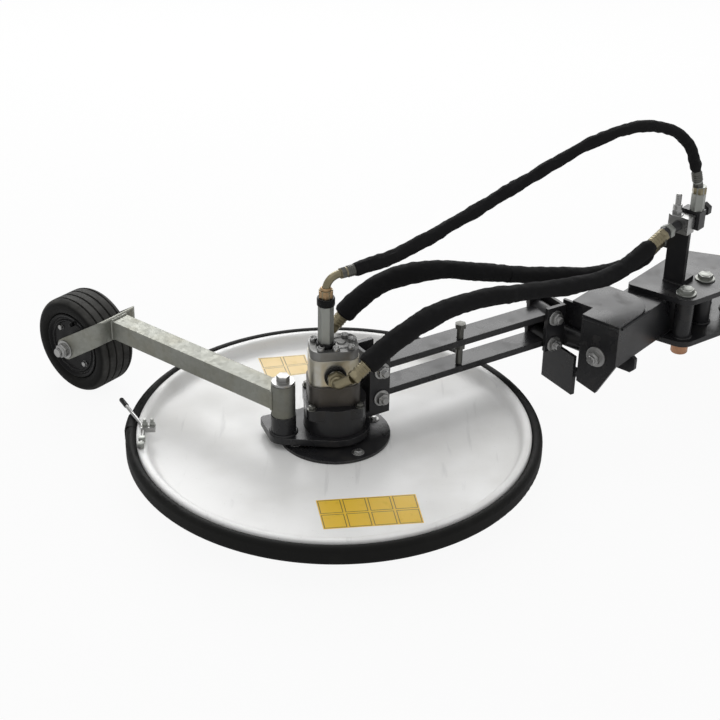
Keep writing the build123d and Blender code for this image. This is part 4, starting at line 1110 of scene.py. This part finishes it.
class MOWER_OT_stage(bpy.types.Operator):
    """Sets the floor, the soft light and the camera"""

    bl_idname = "mower.stage"
    bl_label = "Stage"

    def execute(self, context):
        scene = context.scene
        scene.view_settings.view_transform = "Standard"
        self.floor(scene)
        self.world(scene)
        for name, spot, target, width, height, power in LAMPS:
            lamp = bpy.data.lights.new(name, "AREA")
            lamp.shape = "RECTANGLE"
            lamp.size, lamp.size_y = width, height
            lamp.energy = power
            light = bpy.data.objects.new(name, lamp)
            light.location = place(*spot)
            aim = place(*target) - light.location
            light.rotation_euler = aim.to_track_quat("-Z", "Y").to_euler()
            scene.collection.objects.link(light)
        self.camera(scene)
        return {"FINISHED"}

    def floor(self, scene):
        """A pale floor that reads white to the camera, keeps a soft shadow and is clear from below."""
        f = Finish("studio_floor")
        seen = f.node("ShaderNodeLightPath", output="Is Camera Ray")
        mirrored = f.node("ShaderNodeLightPath", output="Is Glossy Ray")
        through = f.node("ShaderNodeLightPath", output="Is Transmission Ray")
        shade = f.node("ShaderNodeBsdfDiffuse", None, {"Color": (0.70, 0.70, 0.70)})
        white = f.node("ShaderNodeEmission", None, {"Color": (1, 1, 1), "Strength": 1.0})
        share = seen * FLOOR_GLOW + mirrored * FLOOR_MIRRORED + through * FLOOR_GLOW
        top = f.node("ShaderNodeMixShader", None, {0: share, 1: shade, 2: white})
        below = f.node("ShaderNodeNewGeometry", output="Backfacing")
        clear = f.node("ShaderNodeBsdfTransparent")
        both = f.node("ShaderNodeMixShader", None, {0: below, 1: top, 2: clear})
        f.node("ShaderNodeOutputMaterial", None, {"Surface": both})
        grid = bmesh.new()
        bmesh.ops.create_grid(grid, x_segments=1, y_segments=1, size=12)
        mesh = bpy.data.meshes.new("floor")
        grid.to_mesh(mesh)
        grid.free()
        mesh.materials.append(f.material)
        ground = bpy.data.objects.new("floor", mesh)
        scene.collection.objects.link(ground)

    def world(self, scene):
        """A soft white sky that reads white to the camera."""
        world = bpy.data.worlds.new("studio")
        scene.world = world
        world.use_nodes = True
        tree = world.node_tree
        sky = tree.nodes["Background"]
        sky.inputs["Color"].default_value = (1, 1, 1, 1)
        rays = tree.nodes.new("ShaderNodeLightPath")
        level = tree.nodes.new("ShaderNodeMath")
        level.operation = "MAXIMUM"
        level.inputs[1].default_value = SKY_LIGHT
        tree.links.new(rays.outputs["Is Camera Ray"], level.inputs[0])
        tree.links.new(level.outputs[0], sky.inputs["Strength"])

    def camera(self, scene):
        """A long lens, pitched down and rolled a little."""
        data = bpy.data.cameras.new("camera")
        data.sensor_width = 36.0
        data.lens = 75.0
        pitch, roll = math.radians(CAMERA_PITCH), math.radians(CAMERA_ROLL)
        right = Vector((1, 0, 0))
        up = Vector((0, math.sin(pitch), math.cos(pitch)))
        back = Vector((0, -math.cos(pitch), math.sin(pitch)))
        tilted = right * math.cos(roll) + up * math.sin(roll)
        upright = up * math.cos(roll) - right * math.sin(roll)
        turn = Matrix((tilted, upright, back)).transposed().to_4x4()
        camera = bpy.data.objects.new("camera", data)
        camera.matrix_world = Matrix.Translation(place(*CAMERA_PLACE)) @ turn
        scene.collection.objects.link(camera)
        scene.camera = camera


class MOWER_PT_panel(bpy.types.Panel):
    """Lists the mower's pieces"""

    bl_idname = "MOWER_PT_panel"
    bl_label = "Disc mower head"
    bl_space_type = "VIEW_3D"
    bl_region_type = "UI"
    bl_category = "Mower"

    def draw(self, context):
        for operator in OPERATORS:
            self.layout.operator(operator.bl_idname)
        for group in (context.scene.mower_colours, context.scene.mower_sizes):
            for key in group.__annotations__:
                self.layout.prop(group, key)


OPERATORS = (
    MOWER_OT_finishes,
    MOWER_OT_hoses,
    MOWER_OT_cover,
    MOWER_OT_fasteners,
    MOWER_OT_fittings,
    MOWER_OT_wheel_trim,
    MOWER_OT_bumper_trim,
    MOWER_OT_painted_shade_plate,
    MOWER_OT_labels,
    MOWER_OT_welds,
    MOWER_OT_stage,
)
CLASSES = (MowerColours, MowerSizes, *OPERATORS, MOWER_PT_panel)


def register():
    for cls in CLASSES:
        bpy.utils.register_class(cls)
    bpy.types.Scene.mower_colours = PointerProperty(type=MowerColours)
    bpy.types.Scene.mower_sizes = PointerProperty(type=MowerSizes)


def unregister():
    del bpy.types.Scene.mower_sizes
    del bpy.types.Scene.mower_colours
    for cls in reversed(CLASSES):
        bpy.utils.unregister_class(cls)


def main():
    register()
    for operator in OPERATORS:
        group, name = operator.bl_idname.split(".")
        getattr(getattr(bpy.ops, group), name)()


if __name__ == "__main__":
    main()
